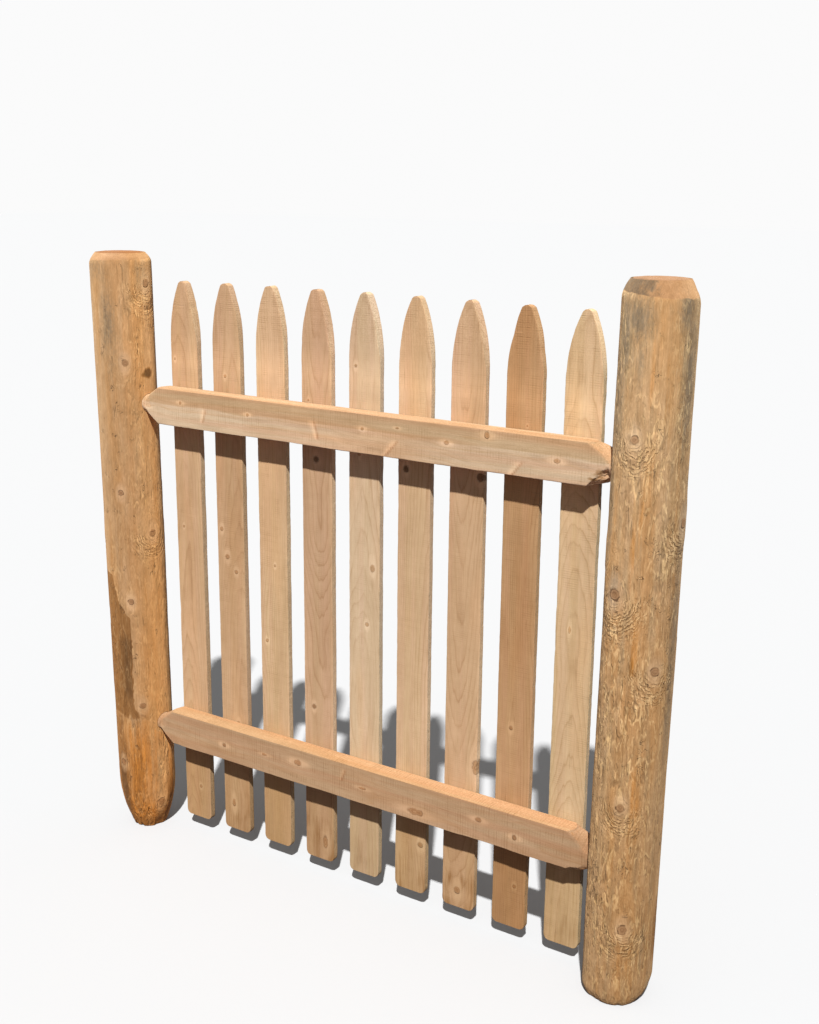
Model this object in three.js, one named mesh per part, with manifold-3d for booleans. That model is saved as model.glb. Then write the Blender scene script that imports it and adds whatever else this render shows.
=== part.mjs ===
// A bay of spaced-picket garden fencing between two round posts.
//
// Two sawn rails run from post to post. Each rail end is sharpened like a pencil into a round tenon,
// which sits in a blind mortise drilled in the side of the post and is held there by one long pin nail.
// Nine pointed pickets stand against the back of the rails, each held by two nails at every crossing.
// The posts are peeled logs with a bevelled top and a worn butt, and they lean apart a little upwards.
//
// Units are millimetres. +Z is up, +X runs along the rails to the right and the rails lie on the -Y side
// of the pickets. The origin is on the ground, midway between the tops of the two posts.

import * as THREE from "three";
import { mergeVertices } from "three/addons/utils/BufferGeometryUtils.js";
import Module from "manifold-3d";

const wasm = await Module();
wasm.setup();

// ---------------------------------------------------------------- driving dimensions

// Pickets
const PICKET_COUNT = 9;
const PICKET_WIDTH = 73;
const PICKET_THICKNESS = 15;
const PICKET_LENGTH = 1219;
const PICKET_GAP = 42.5; // clear space between two pickets
const PICKET_GROUND_GAP = 38; // from the ground to the foot of the highest picket
const PICKET_DROPS = [3, 2, 0, 1, 1, 1, 2, 4, 4]; // how far each one is nailed below the highest
const POINT_LENGTH = 130; // from where the sides start to lean in, up to the top
const POINT_FULLNESS = 70; // how far up the point its sides stay nearly upright
const TIP_WIDTH = 23; // across the blunt tip, where its corners start to round
const TIP_ROUND = 5; // height of those rounded corners
const FOOT_ROUND = 5; // of the worn corners of the foot

// Rails
const RAIL_HEIGHT = 77.5;
const RAIL_THICKNESS = 42;
const LOWER_RAIL_RISE = 224; // from the foot of the highest picket to the lower rail's centre line
const UPPER_RAIL_DROP = 263.5; // from the tip of the highest picket to the upper rail's centre line
const TENON_RADIUS = 19.5;
const TAPER_LENGTH = 43; // along the rail, from its full section to the tenon
const SHOULDER_GAP = 0.5; // from the end of the taper to the face of the post
const TENON_PAST_AXIS = 8; // how far the tenon reaches past the axis of the post

// Posts
const POST_RADIUS = 65.5;
const LEFT_POST_GAP = 42; // between the outer picket and the post, halfway up the pickets
const RIGHT_POST_GAP = 32.5;
const LEFT_POST_LEAN = 0.0125; // sideways lean per millimetre of height, outwards going up
const RIGHT_POST_LEAN = 0.0095;
const LEFT_POST_RISE = 53; // from the tip of the highest picket to the top of the post
const RIGHT_POST_RISE = 56.5;
const LEFT_BEVEL_DROP = 17; // height of the bevel round the top of the post
const RIGHT_BEVEL_DROP = 27;
const LEFT_BEVEL_INSET = 10.5; // how far the bevel comes in from the side of the post
const RIGHT_BEVEL_INSET = 14.5;
const LEFT_BUTT_RISE = 120; // height of the worn part at the foot of the post
const RIGHT_BUTT_RISE = 22;
const LEFT_BUTT_INSET = 24; // how far the worn part comes in at the ground
const RIGHT_BUTT_INSET = 7;

// Picket nails: two at each crossing, on a diagonal
const NAIL_RADIUS = 1.5;
const NAIL_HEAD_RADIUS = 3.6;
const NAIL_HEAD_THICKNESS = 1.2;
const NAIL_POINT = 5;
const NAIL_TIP_COVER = 8; // wood left between a nail's tip and the front face of the rail
const NAIL_SIDE_MARGIN = 18; // from the edge of the picket to the nail
const NAIL_RAIL_MARGIN = 25; // from the edge of the rail to the nail

// Pin nails: one through each tenon, driven from the back of the post
const PIN_RADIUS = 2.1;
const PIN_HEAD_RADIUS = 4.4;
const PIN_HEAD_THICKNESS = 1.6;
const PIN_POINT = 7;
const PIN_TIP_COVER = 31; // wood left between the pin's tip and the front of the post

// Fits
const SEAT_GAP = 0.3; // between two pieces that lie against each other
const NAIL_CLEARANCE = 0.3; // round a nail in its hole
const TENON_CLEARANCE = 0.5; // round a tenon in its mortise
const MORTISE_END_GAP = 3; // behind the end of the tenon
const NAIL_HOLE_END_GAP = 1; // past the tip of a nail

// Smoothness of the round and curved pieces
const POST_SIDES = 48;
const TENON_SIDES = 32;
const NAIL_SIDES = 8;
const POINT_STEPS = 6;
const BUTT_STEPS = 4;
const CUT_MARGIN = 2; // how far a cutter runs past the face that it cuts

// ---------------------------------------------------------------- levels and places

const picketFoot = PICKET_GROUND_GAP;
const picketTip = picketFoot + PICKET_LENGTH;
const lowerRailLevel = picketFoot + LOWER_RAIL_RISE;
const upperRailLevel = picketTip - UPPER_RAIL_DROP;
const halfwayUp = (picketFoot + picketTip) / 2;

const picketPitch = PICKET_WIDTH + PICKET_GAP;
const panelWidth = PICKET_COUNT * picketPitch - PICKET_GAP;

const railBack = RAIL_THICKNESS / 2;
const picketFront = railBack + SEAT_GAP;
const picketBack = picketFront + PICKET_THICKNESS;

const posts = [
  {
    name: "left",
    side: -1,
    gap: LEFT_POST_GAP,
    lean: LEFT_POST_LEAN,
    top: picketTip + LEFT_POST_RISE,
    bevelDrop: LEFT_BEVEL_DROP,
    bevelInset: LEFT_BEVEL_INSET,
    buttRise: LEFT_BUTT_RISE,
    buttInset: LEFT_BUTT_INSET,
  },
  {
    name: "right",
    side: 1,
    gap: RIGHT_POST_GAP,
    lean: RIGHT_POST_LEAN,
    top: picketTip + RIGHT_POST_RISE,
    bevelDrop: RIGHT_BEVEL_DROP,
    bevelInset: RIGHT_BEVEL_INSET,
    buttRise: RIGHT_BUTT_RISE,
    buttInset: RIGHT_BUTT_INSET,
  },
];

/** How far a post's axis is from the middle of the pickets at a height. */
const axisReach = (post, z) => panelWidth / 2 + post.gap + POST_RADIUS + post.lean * (z - halfwayUp);

// The origin is midway between the tops of the posts, and the pickets' middle is this far from it.
const [leftReach, rightReach] = posts.map((post) => axisReach(post, post.top));
const panelMiddle = (leftReach - rightReach) / 2;

/** Where a post's axis is at a height. */
const axisPlace = (post, z) => panelMiddle + post.side * axisReach(post, z);

// ---------------------------------------------------------------- materials

const wood = (color) => new THREE.MeshStandardMaterial({ color, roughness: 0.85, metalness: 0 });
const picketWood = wood(0xd2a474);
const railWood = wood(0xc79f74);
const postWood = wood(0xb98a55);
const nailSteel = new THREE.MeshStandardMaterial({ color: 0x9a9c9e, roughness: 0.45, metalness: 0.9 });

// ---------------------------------------------------------------- solids

/** The closed solid of a geometry. */
function solidOf(geometry) {
  const bare = geometry.index ? geometry.toNonIndexed() : geometry.clone();
  bare.deleteAttribute("normal");
  bare.deleteAttribute("uv");
  const merged = mergeVertices(bare, 1e-3);
  const vertProperties = new Float32Array(merged.attributes.position.array);
  const triVerts = new Uint32Array(merged.index.array);
  return new wasm.Manifold(new wasm.Mesh({ numProp: 3, vertProperties, triVerts }));
}

/** The geometry of a solid. */
function geometryOf(solid) {
  const mesh = solid.getMesh();
  return new THREE.BufferGeometry()
    .setAttribute("position", new THREE.BufferAttribute(mesh.vertProperties, 3))
    .setIndex(new THREE.BufferAttribute(mesh.triVerts, 1));
}

/** A body of revolution about Z from [radius, height] pairs that run from the foot to the top. */
function turned(profile, sides) {
  const points = profile.map(([radius, height]) => new THREE.Vector2(radius, height));
  return new THREE.LatheGeometry(points, sides).rotateX(Math.PI / 2);
}

/** A plain rod about Z from one height to another. */
const rod = (radius, from, to, sides) =>
  turned([[0, from], [radius, from], [radius, to], [0, to]], sides);

/** A rod along +X from one place to another, at a height. */
const rodAlongX = (radius, from, to, z, sides) =>
  rod(radius, from, to, sides).rotateY(Math.PI / 2).translate(0, 0, z);

/** A rod along Y from one depth to another, through a point of the XZ plane. */
const rodAlongY = (radius, from, to, x, z, sides) =>
  rod(radius, -to, -from, sides).rotateX(Math.PI / 2).translate(x, 0, z);

/** A geometry with the given cutters taken out of it. */
function cutBy(geometry, cutters) {
  const cut = cutters.reduce((solid, cutter) => solid.subtract(solidOf(cutter)), solidOf(geometry));
  return geometryOf(cut);
}

// ---------------------------------------------------------------- where the nails go

const nailSideOffset = PICKET_WIDTH / 2 - NAIL_SIDE_MARGIN;
const nailRailOffset = RAIL_HEIGHT / 2 - NAIL_RAIL_MARGIN;
const nailTip = -RAIL_THICKNESS / 2 + NAIL_TIP_COVER;
const nailHeadSeat = picketBack + SEAT_GAP;
const nailHoleRadius = NAIL_RADIUS + NAIL_CLEARANCE;

const pinTip = -POST_RADIUS + PIN_TIP_COVER;
const pinHeadSeat = POST_RADIUS + SEAT_GAP;
const pinHoleRadius = PIN_RADIUS + NAIL_CLEARANCE;
const mortiseRadius = TENON_RADIUS + TENON_CLEARANCE;

const pickets = Array.from({ length: PICKET_COUNT }, (_, i) => ({
  number: i + 1,
  x: panelMiddle + (i - (PICKET_COUNT - 1) / 2) * picketPitch,
  foot: picketFoot - PICKET_DROPS[i % PICKET_DROPS.length],
}));

const rails = [
  { name: "upper", z: upperRailLevel },
  { name: "lower", z: lowerRailLevel },
];

/** The two nails that hold a picket to a rail. */
const nailsAt = (picket, rail) => [
  { name: "a", x: picket.x - nailSideOffset, z: rail.z + nailRailOffset },
  { name: "b", x: picket.x + nailSideOffset, z: rail.z - nailRailOffset },
];

// ---------------------------------------------------------------- pieces

/** A picket's outline: straight sides, a full point, a blunt tip with rounded corners and a worn foot. */
function picketOutline() {
  const half = PICKET_WIDTH / 2;
  const halfTip = TIP_WIDTH / 2;
  const shoulder = PICKET_LENGTH - POINT_LENGTH;
  const tipCorner = PICKET_LENGTH - TIP_ROUND;
  const outline = new THREE.Shape();
  outline.moveTo(-half + FOOT_ROUND, 0);
  outline.lineTo(half - FOOT_ROUND, 0);
  outline.quadraticCurveTo(half, 0, half, FOOT_ROUND);
  outline.lineTo(half, shoulder);
  outline.quadraticCurveTo(half, shoulder + POINT_FULLNESS, halfTip, tipCorner);
  outline.quadraticCurveTo(halfTip / 2, PICKET_LENGTH, 0, PICKET_LENGTH);
  outline.quadraticCurveTo(-halfTip / 2, PICKET_LENGTH, -halfTip, tipCorner);
  outline.quadraticCurveTo(-half, shoulder + POINT_FULLNESS, -half, shoulder);
  outline.lineTo(-half, FOOT_ROUND);
  outline.quadraticCurveTo(-half, 0, -half + FOOT_ROUND, 0);
  return outline;
}

function picketGeometry(picket) {
  const settings = { depth: PICKET_THICKNESS, bevelEnabled: false, curveSegments: POINT_STEPS };
  const board = new THREE.ExtrudeGeometry(picketOutline(), settings)
    .rotateX(Math.PI / 2)
    .translate(picket.x, picketBack, picket.foot);
  const holes = rails.flatMap((rail) => nailsAt(picket, rail)).map(({ x, z }) =>
    rodAlongY(nailHoleRadius, picketFront - CUT_MARGIN, picketBack + CUT_MARGIN, x, z, NAIL_SIDES));
  return cutBy(board, holes);
}

/** Half of a sharpened rail's outline of revolution, from its middle to the end of its tenon. */
function sharpenedHalf(post, rail) {
  const reach = axisReach(post, rail.z);
  const taperEnd = reach - POST_RADIUS - SHOULDER_GAP;
  const cornerRadius = Math.hypot(RAIL_THICKNESS / 2, RAIL_HEIGHT / 2);
  const slope = (cornerRadius - TENON_RADIUS) / TAPER_LENGTH;
  const outerRadius = cornerRadius + CUT_MARGIN;
  const end = reach + TENON_PAST_AXIS;
  return [
    [outerRadius, taperEnd - (outerRadius - TENON_RADIUS) / slope],
    [TENON_RADIUS, taperEnd],
    [TENON_RADIUS, end],
    [0, end],
  ];
}

/** A sawn blank with both ends sharpened into round tenons, and its nail and pin holes. */
function railGeometry(rail) {
  const [leftHalf, rightHalf] = posts.map((post) => sharpenedHalf(post, rail));
  const profile = [...leftHalf.map(([radius, x]) => [radius, -x]).reverse(), ...rightHalf];
  const sharpened = turned(profile, TENON_SIDES).rotateY(Math.PI / 2);
  const start = profile[0][1];
  const end = profile.at(-1)[1];
  const blank = new THREE.BoxGeometry(end - start, RAIL_THICKNESS, RAIL_HEIGHT);
  blank.translate((start + end) / 2, 0, 0);
  const body = solidOf(blank).intersect(solidOf(sharpened)).translate([panelMiddle, 0, rail.z]);

  const nailHoles = pickets.flatMap((picket) => nailsAt(picket, rail)).map(({ x, z }) =>
    rodAlongY(nailHoleRadius, nailTip - NAIL_HOLE_END_GAP, railBack + CUT_MARGIN, x, z, NAIL_SIDES));
  const pinReach = TENON_RADIUS + CUT_MARGIN;
  const pinHoles = posts.map((post) =>
    rodAlongY(pinHoleRadius, -pinReach, pinReach, axisPlace(post, rail.z), rail.z, NAIL_SIDES));
  return cutBy(geometryOf(body), [...nailHoles, ...pinHoles]);
}

/** A leaning round log with a bevelled top and a worn butt, drilled for both rails and their pins. */
function postGeometry(post) {
  const butt = Array.from({ length: BUTT_STEPS + 1 }, (_, i) => {
    const up = i / BUTT_STEPS;
    return [POST_RADIUS - post.buttInset * (1 - up) ** 2, post.buttRise * up];
  });
  const bevel = [
    [POST_RADIUS, post.top - post.bevelDrop],
    [POST_RADIUS - post.bevelInset, post.top],
  ];
  // A shear keeps both ends level while the axis leans.
  const lean = new THREE.Matrix4().set(
    1, 0, post.side * post.lean, axisPlace(post, 0),
    0, 1, 0, 0,
    0, 0, 1, 0,
    0, 0, 0, 1,
  );
  const log = turned([[0, 0], ...butt, ...bevel, [0, post.top]], POST_SIDES).applyMatrix4(lean);

  const mortises = rails.map(({ z }) => {
    const mouth = -post.side * (POST_RADIUS + CUT_MARGIN);
    const bottom = post.side * (TENON_PAST_AXIS + MORTISE_END_GAP);
    const [from, to] = [mouth, bottom].sort((a, b) => a - b);
    return rodAlongX(mortiseRadius, from, to, z, TENON_SIDES).translate(axisPlace(post, z), 0, 0);
  });
  const pinHoles = rails.map(({ z }) => {
    const bottom = pinTip - NAIL_HOLE_END_GAP;
    return rodAlongY(pinHoleRadius, bottom, POST_RADIUS + CUT_MARGIN, axisPlace(post, z), z, NAIL_SIDES);
  });
  return cutBy(log, [...mortises, ...pinHoles]);
}

/** A nail about Z with its tip at the origin and its head up. */
function nailGeometry({ radius, headRadius, headThickness, length, point }) {
  const profile = [
    [0, 0],
    [radius, point],
    [radius, length],
    [headRadius, length],
    [headRadius, length + headThickness],
    [0, length + headThickness],
  ];
  return turned(profile, NAIL_SIDES);
}

/** A nail turned so that its head faces +Y, with its tip at a point. */
function drivenNail(name, geometry, x, y, z) {
  const nail = new THREE.Mesh(geometry, nailSteel);
  nail.name = name;
  nail.rotation.x = -Math.PI / 2;
  nail.position.set(x, y, z);
  return nail;
}

function piece(name, geometry, material) {
  const mesh = new THREE.Mesh(geometry, material);
  mesh.name = name;
  return mesh;
}

// ---------------------------------------------------------------- assembly

const picketNail = nailGeometry({
  radius: NAIL_RADIUS,
  headRadius: NAIL_HEAD_RADIUS,
  headThickness: NAIL_HEAD_THICKNESS,
  length: nailHeadSeat - nailTip,
  point: NAIL_POINT,
});
const pinNail = nailGeometry({
  radius: PIN_RADIUS,
  headRadius: PIN_HEAD_RADIUS,
  headThickness: PIN_HEAD_THICKNESS,
  length: pinHeadSeat - pinTip,
  point: PIN_POINT,
});

const fence = new THREE.Group();

for (const post of posts) {
  fence.add(piece(`${post.name}_post`, postGeometry(post), postWood));
}
for (const rail of rails) {
  fence.add(piece(`${rail.name}_rail`, railGeometry(rail), railWood));
}
for (const picket of pickets) {
  fence.add(piece(`picket_${picket.number}`, picketGeometry(picket), picketWood));
}
for (const rail of rails) {
  for (const picket of pickets) {
    for (const nail of nailsAt(picket, rail)) {
      const name = `${rail.name}_nail_${picket.number}${nail.name}`;
      fence.add(drivenNail(name, picketNail, nail.x, nailTip, nail.z));
    }
  }
  for (const post of posts) {
    const name = `${post.name}_post_${rail.name}_pin`;
    fence.add(drivenNail(name, pinNail, axisPlace(post, rail.z), pinTip, rail.z));
  }
}

export default fence;
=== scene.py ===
"""The looks of a section of spaced picket fence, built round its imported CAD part.

Every wooden piece gets a finely divided mesh that is worn and weathered inwards from its CAD shape. Each
mesh carries where every point lies in the log it was sawn from, and the wood materials draw rings, fibres,
knots and stains from that, so that grain runs on from one face of a board to the next.
"""

import itertools
import math

import bpy
import numpy as np
from mathutils import Matrix, Vector


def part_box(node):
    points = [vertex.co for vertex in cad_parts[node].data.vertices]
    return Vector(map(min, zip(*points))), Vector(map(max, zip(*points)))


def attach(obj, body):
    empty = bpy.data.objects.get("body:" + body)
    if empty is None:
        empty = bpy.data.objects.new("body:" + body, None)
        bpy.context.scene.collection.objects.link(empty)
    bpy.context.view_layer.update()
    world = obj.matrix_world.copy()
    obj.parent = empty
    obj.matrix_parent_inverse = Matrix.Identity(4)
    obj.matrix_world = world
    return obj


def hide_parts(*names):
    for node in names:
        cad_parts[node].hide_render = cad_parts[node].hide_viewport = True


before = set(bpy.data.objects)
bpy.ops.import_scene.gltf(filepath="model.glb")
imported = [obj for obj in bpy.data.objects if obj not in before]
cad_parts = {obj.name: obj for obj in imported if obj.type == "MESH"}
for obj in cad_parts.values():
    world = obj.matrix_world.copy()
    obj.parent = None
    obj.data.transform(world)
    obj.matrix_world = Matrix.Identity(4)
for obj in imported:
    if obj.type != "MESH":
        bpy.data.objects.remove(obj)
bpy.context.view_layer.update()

MM = 0.001
UP = np.array([0.0, 0.0, 1.0])
SHARPEST_SMOOTH = math.radians(42)  # edges that turn by more than this look sharp
POST_COLUMNS = 168  # how many points there are round a post
NAIL_COLUMNS = 28

# ---------------------------------------------------------------- sizes shared with the CAD part, in mm

PICKET_POINT = 130  # from where a picket's sides start to lean in, up to its tip
PICKET_FULLNESS = 70  # how far up the point the sides stay nearly upright
PICKET_TIP_HALF = 11.5
PICKET_TIP_ROUND = 5
PICKET_FOOT_ROUND = 13  # the CAD part's corners are 5, before wear

TENON_RADIUS = 19.5
TENON_CLEARANCE = 0.5
TAPER_LENGTH = 43  # of the sharpened end of a rail
RAIL_END_LENGTH = TAPER_LENGTH + 12  # the part of a rail's end that is carved, from the post
SHOULDER_GAP = 0.5  # from the end of the taper to the post
MORTISE_PAST_AXIS = 11
NAIL_CLEARANCE = 0.3
PIN_RADIUS = 2.1
PIN_HEAD_RADIUS = 4.4
PIN_HEAD_THICKNESS = 1.6
NAIL_RADIUS = 1.5
NAIL_HEAD_RADIUS = 3.6
NAIL_HEAD_THICKNESS = 1.2

# ---------------------------------------------------------------- what each piece is like, in mm and degrees

# Each picket:
#   shade: how much lighter it is than the plain colour, in red, green and blue; side: how light its sides are
#       below the point, which is painted light and shade
#   sawn: how strongly the saw shows; dirt: how brown its foot is
#   heart: where the heart of its log lies across and through it at mid height, and its drift over the length
#   tip: how far its saw cut lies below its highest point, its slope and arch, and how far its left leans in
#   slant: how far the front of the point's right side leans in
#   knots: across from its middle, up from its foot, radius, how dark, how long for their width
#   nicks in its edges: side, height, reach, depth; scratch across its front: height, slope, start, end
PICKETS = {
    1: dict(
        shade=(0.98, 1.00, 0.97), side=0.84, sawn=0.55, dirt=0.14, slant=7.5,
        heart=(-14, 52, 10, 34), tip=(0.2, -0.06, 0.026, 0.8),
        knots=[(8, 78, 4), (-17, 690, 3), (-26, 1055, 3)],
        nicks=[(1, 1164, 6, 1.0), (-1, 500, 12, 0.8)],
        scratch=(1167, -0.05, -40, 26),
    ),
    2: dict(
        shade=(0.93, 0.93, 0.90), side=0.86, sawn=0.8, dirt=0.32, slant=2.0,
        heart=(24, 60, -16, 30), tip=(0.2, 0.0, 0.026, 0.0),
        knots=[(-4, 1030, 4, -0.3), (-9, 64, 6, 0.0, 1.5), (14, 610, 5), (-10, 640, 7, 0.1), (-24, 700, 5),
               (10, 262, 5)],
        nicks=[(1, 1188, 16, 0.6), (1, 1100, 22, 0.8)],
    ),
    3: dict(
        shade=(1.03, 1.09, 1.07), side=0.88, sawn=0.9, dirt=0.14, slant=2.5,
        heart=(-58, 46, 8, 10), tip=(1.6, -0.17, 0.004, 0.8),
        knots=[(-20, 470, 4), (4, 640, 3)],
        nicks=[(1, 1100, 30, 0.9), (-1, 700, 18, 0.7)],
    ),
    4: dict(
        shade=(0.94, 0.95, 0.96), side=1.03, sawn=0.6, dirt=0.44, slant=8.0,
        heart=(8, 64, -6, -44), tip=(0.9, -0.06, 0.006, 0.0),
        knots=[(-2, 882, 6.5, 0.9), (-12, 350, 5.5, 0.5), (15, 42, 7, 0.1, 2.2), (-20, 1000, 3)],
        nicks=[(-1, 1110, 14, 0.8)],
    ),
    5: dict(
        shade=(1.06, 1.20, 1.32), side=0.78, sawn=0.5, dirt=0.28, slant=6.0,
        heart=(-6, 74, 14, 52), tip=(0.3, -0.06, 0.018, 1.8),
        knots=[(20, 678, 6, 0.1, 1.5), (7, 558, 5), (-12, 905, 4), (-20, 1078, 4, 0.2)],
        nicks=[(1, 860, 16, 0.9)],
    ),
    6: dict(
        shade=(1.05, 1.12, 1.13), side=0.79, sawn=0.6, dirt=0.34, slant=2.0,
        heart=(40, 38, -14, 12), tip=(1.2, -0.14, 0.004, 3.0),
        knots=[(-18, 890, 6.5, 1.0), (25, 110, 7, 0.2)],
        nicks=[(-1, 1130, 24, 0.8)],
    ),
    7: dict(
        shade=(1.01, 1.03, 1.03), side=0.82, sawn=0.6, dirt=0.38, slant=5.5,
        heart=(-4, 42, 6, -60), tip=(0.4, -0.05, 0.012, 2.0),
        knots=[(30, 896, 8, 0.9), (37, 315, 11, 0.2, 1.4), (-2, 37, 9, 0.15), (-14, 240, 5)],
        nicks=[(1, 310, 14, 1.4), (-1, 1150, 20, 0.6)],
        scratch=(1162, -0.02, -24, 24),
    ),
    8: dict(
        shade=(0.86, 0.79, 0.67), side=0.74, sawn=0.85, dirt=0.20, slant=2.6,
        heart=(52, 36, -10, 8), tip=(0.7, -0.05, 0.002, 1.0),
        knots=[(8, 1005, 2), (-6, 420, 5, 0.2), (12, 90, 4)],
        nicks=[(-1, 1168, 24, 2.6), (1, 1140, 20, 1.4), (1, 70, 26, 1.2)],
        scratch=(1171, 0.0, -30, -6),
    ),
    9: dict(
        shade=(1.11, 1.24, 1.24), side=0.60, sawn=0.85, dirt=0.30, slant=2.6,
        heart=(2, 66, 4, 64), tip=(0.8, -0.10, 0.012, 3.4),
        knots=[(-16, 240, 4), (-8, 640, 3, -0.3, 2.5)],
        nicks=[(1, 1040, 20, 0.8), (-1, 600, 16, 0.6)],
    ),
}

# How much lighter a picket's sides are than its faces, below its point and on it: painted light on the sides
PICKET_SIDE_LIGHT = np.array([1.17, 1.27, 1.36])
PICKET_POINT_SIDE_LIGHT = np.array([1.12, 1.20, 1.28])
# How bright the pickets are at heights above their feet, and the tint of their feet. They are darker towards
# their feet, and the brighter band just above the upper rail is painted light, for light thrown up off the
# rail's top
PICKET_HEIGHTS = (0, 230, 260, 800, 1025, 1050, 1110, 1219)
PICKET_HEIGHT_SHADES = (0.69, 0.75, 0.95, 0.97, 1.18, 1.30, 1.10, 1.06)
PICKET_FOOT_TINT = (1.04, 0.98, 0.86)
NO_SCRATCH = 1000.0  # how far a point of a board without a scratch is from one

# Each rail:
#   shade, top_shade and band: how light its wood, its top and the upper part of its face are
#   sawn, top_sawn: how strongly the saw shows; torn: how badly its right end is; heart: as for a picket
#   knots: along from the middle of the panel, up from its centre line, radius, how dark, how long
#   spikes, which are branches that its face was sawn along: along, up, half length, lean, width
#   left_end, right_end: how long the flat in front is, where the cut is fuller than a cone and where it is
#   deeper, each as an angle from the front towards the top, half width in degrees and mm
RAILS = {
    "upper": dict(
        seed=117, shade=(1.07, 1.15, 1.22), top_shade=(0.98, 0.87, 0.75), band=(0.87, 0.81, 0.71),
        sawn=0.8, top_sawn=-0.3, torn=1.0, heart=(26, 62, -22, 10),
        knots=[(-433, 13, 4, 0.1), (-252, 7, 4, 0.0), (30, 10, 4, 0.1), (110, 20, 2.2, 0.3, 1.8),
               (217, 5, 4.5, 0.1, 1.3), (302, 28, 6.5, 0.0, 0.8), (441, -1, 5.5, 0.1, 1.2)],
        spikes=[(-372, -8, 15, 0.3, 5), (-85, -6, 18, -0.25, 6), (92, -20, 17, 0.9, 6),
                (357, -26, 14, 0.8, 7)],
        left_end=dict(flat=37, fuller=[], deeper=[(35, 26, 1.2)]),
        right_end=dict(flat=0, fuller=[(118, 48, 8), (-95, 40, 11)], deeper=[(-42, 24, 3.6)]),
    ),
    "lower": dict(
        seed=108, shade=(0.72, 0.67, 0.62), top_shade=(1.36, 1.28, 1.15),
        sawn=1.15, top_sawn=0.2, torn=0.4, heart=(-20, 70, 26, -12),
        knots=[(-338, -3, 5.5, 0.4), (-134, 9, 7.5, 0.2, 1.4), (-225, 4, 3, 0.1, 2.5),
               (160, -19, 8, 0.25, 2.4), (304, 6, 5, 0.3, 1.5), (383, -8, 5.5, 0.5), (30, -4, 3, 0.0, 3.0)],
        spikes=[(-20, 12, 14, 0.4, 4)],
        left_end=dict(flat=21, fuller=[], deeper=[]),
        right_end=dict(flat=0, fuller=[(120, 45, 6), (-82, 46, 15)], deeper=[(28, 26, 4.0)]),
    ),
}

RAIL_END_ORANGE = 0.30
FREE = 999.0  # a radius that limits nothing
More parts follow.
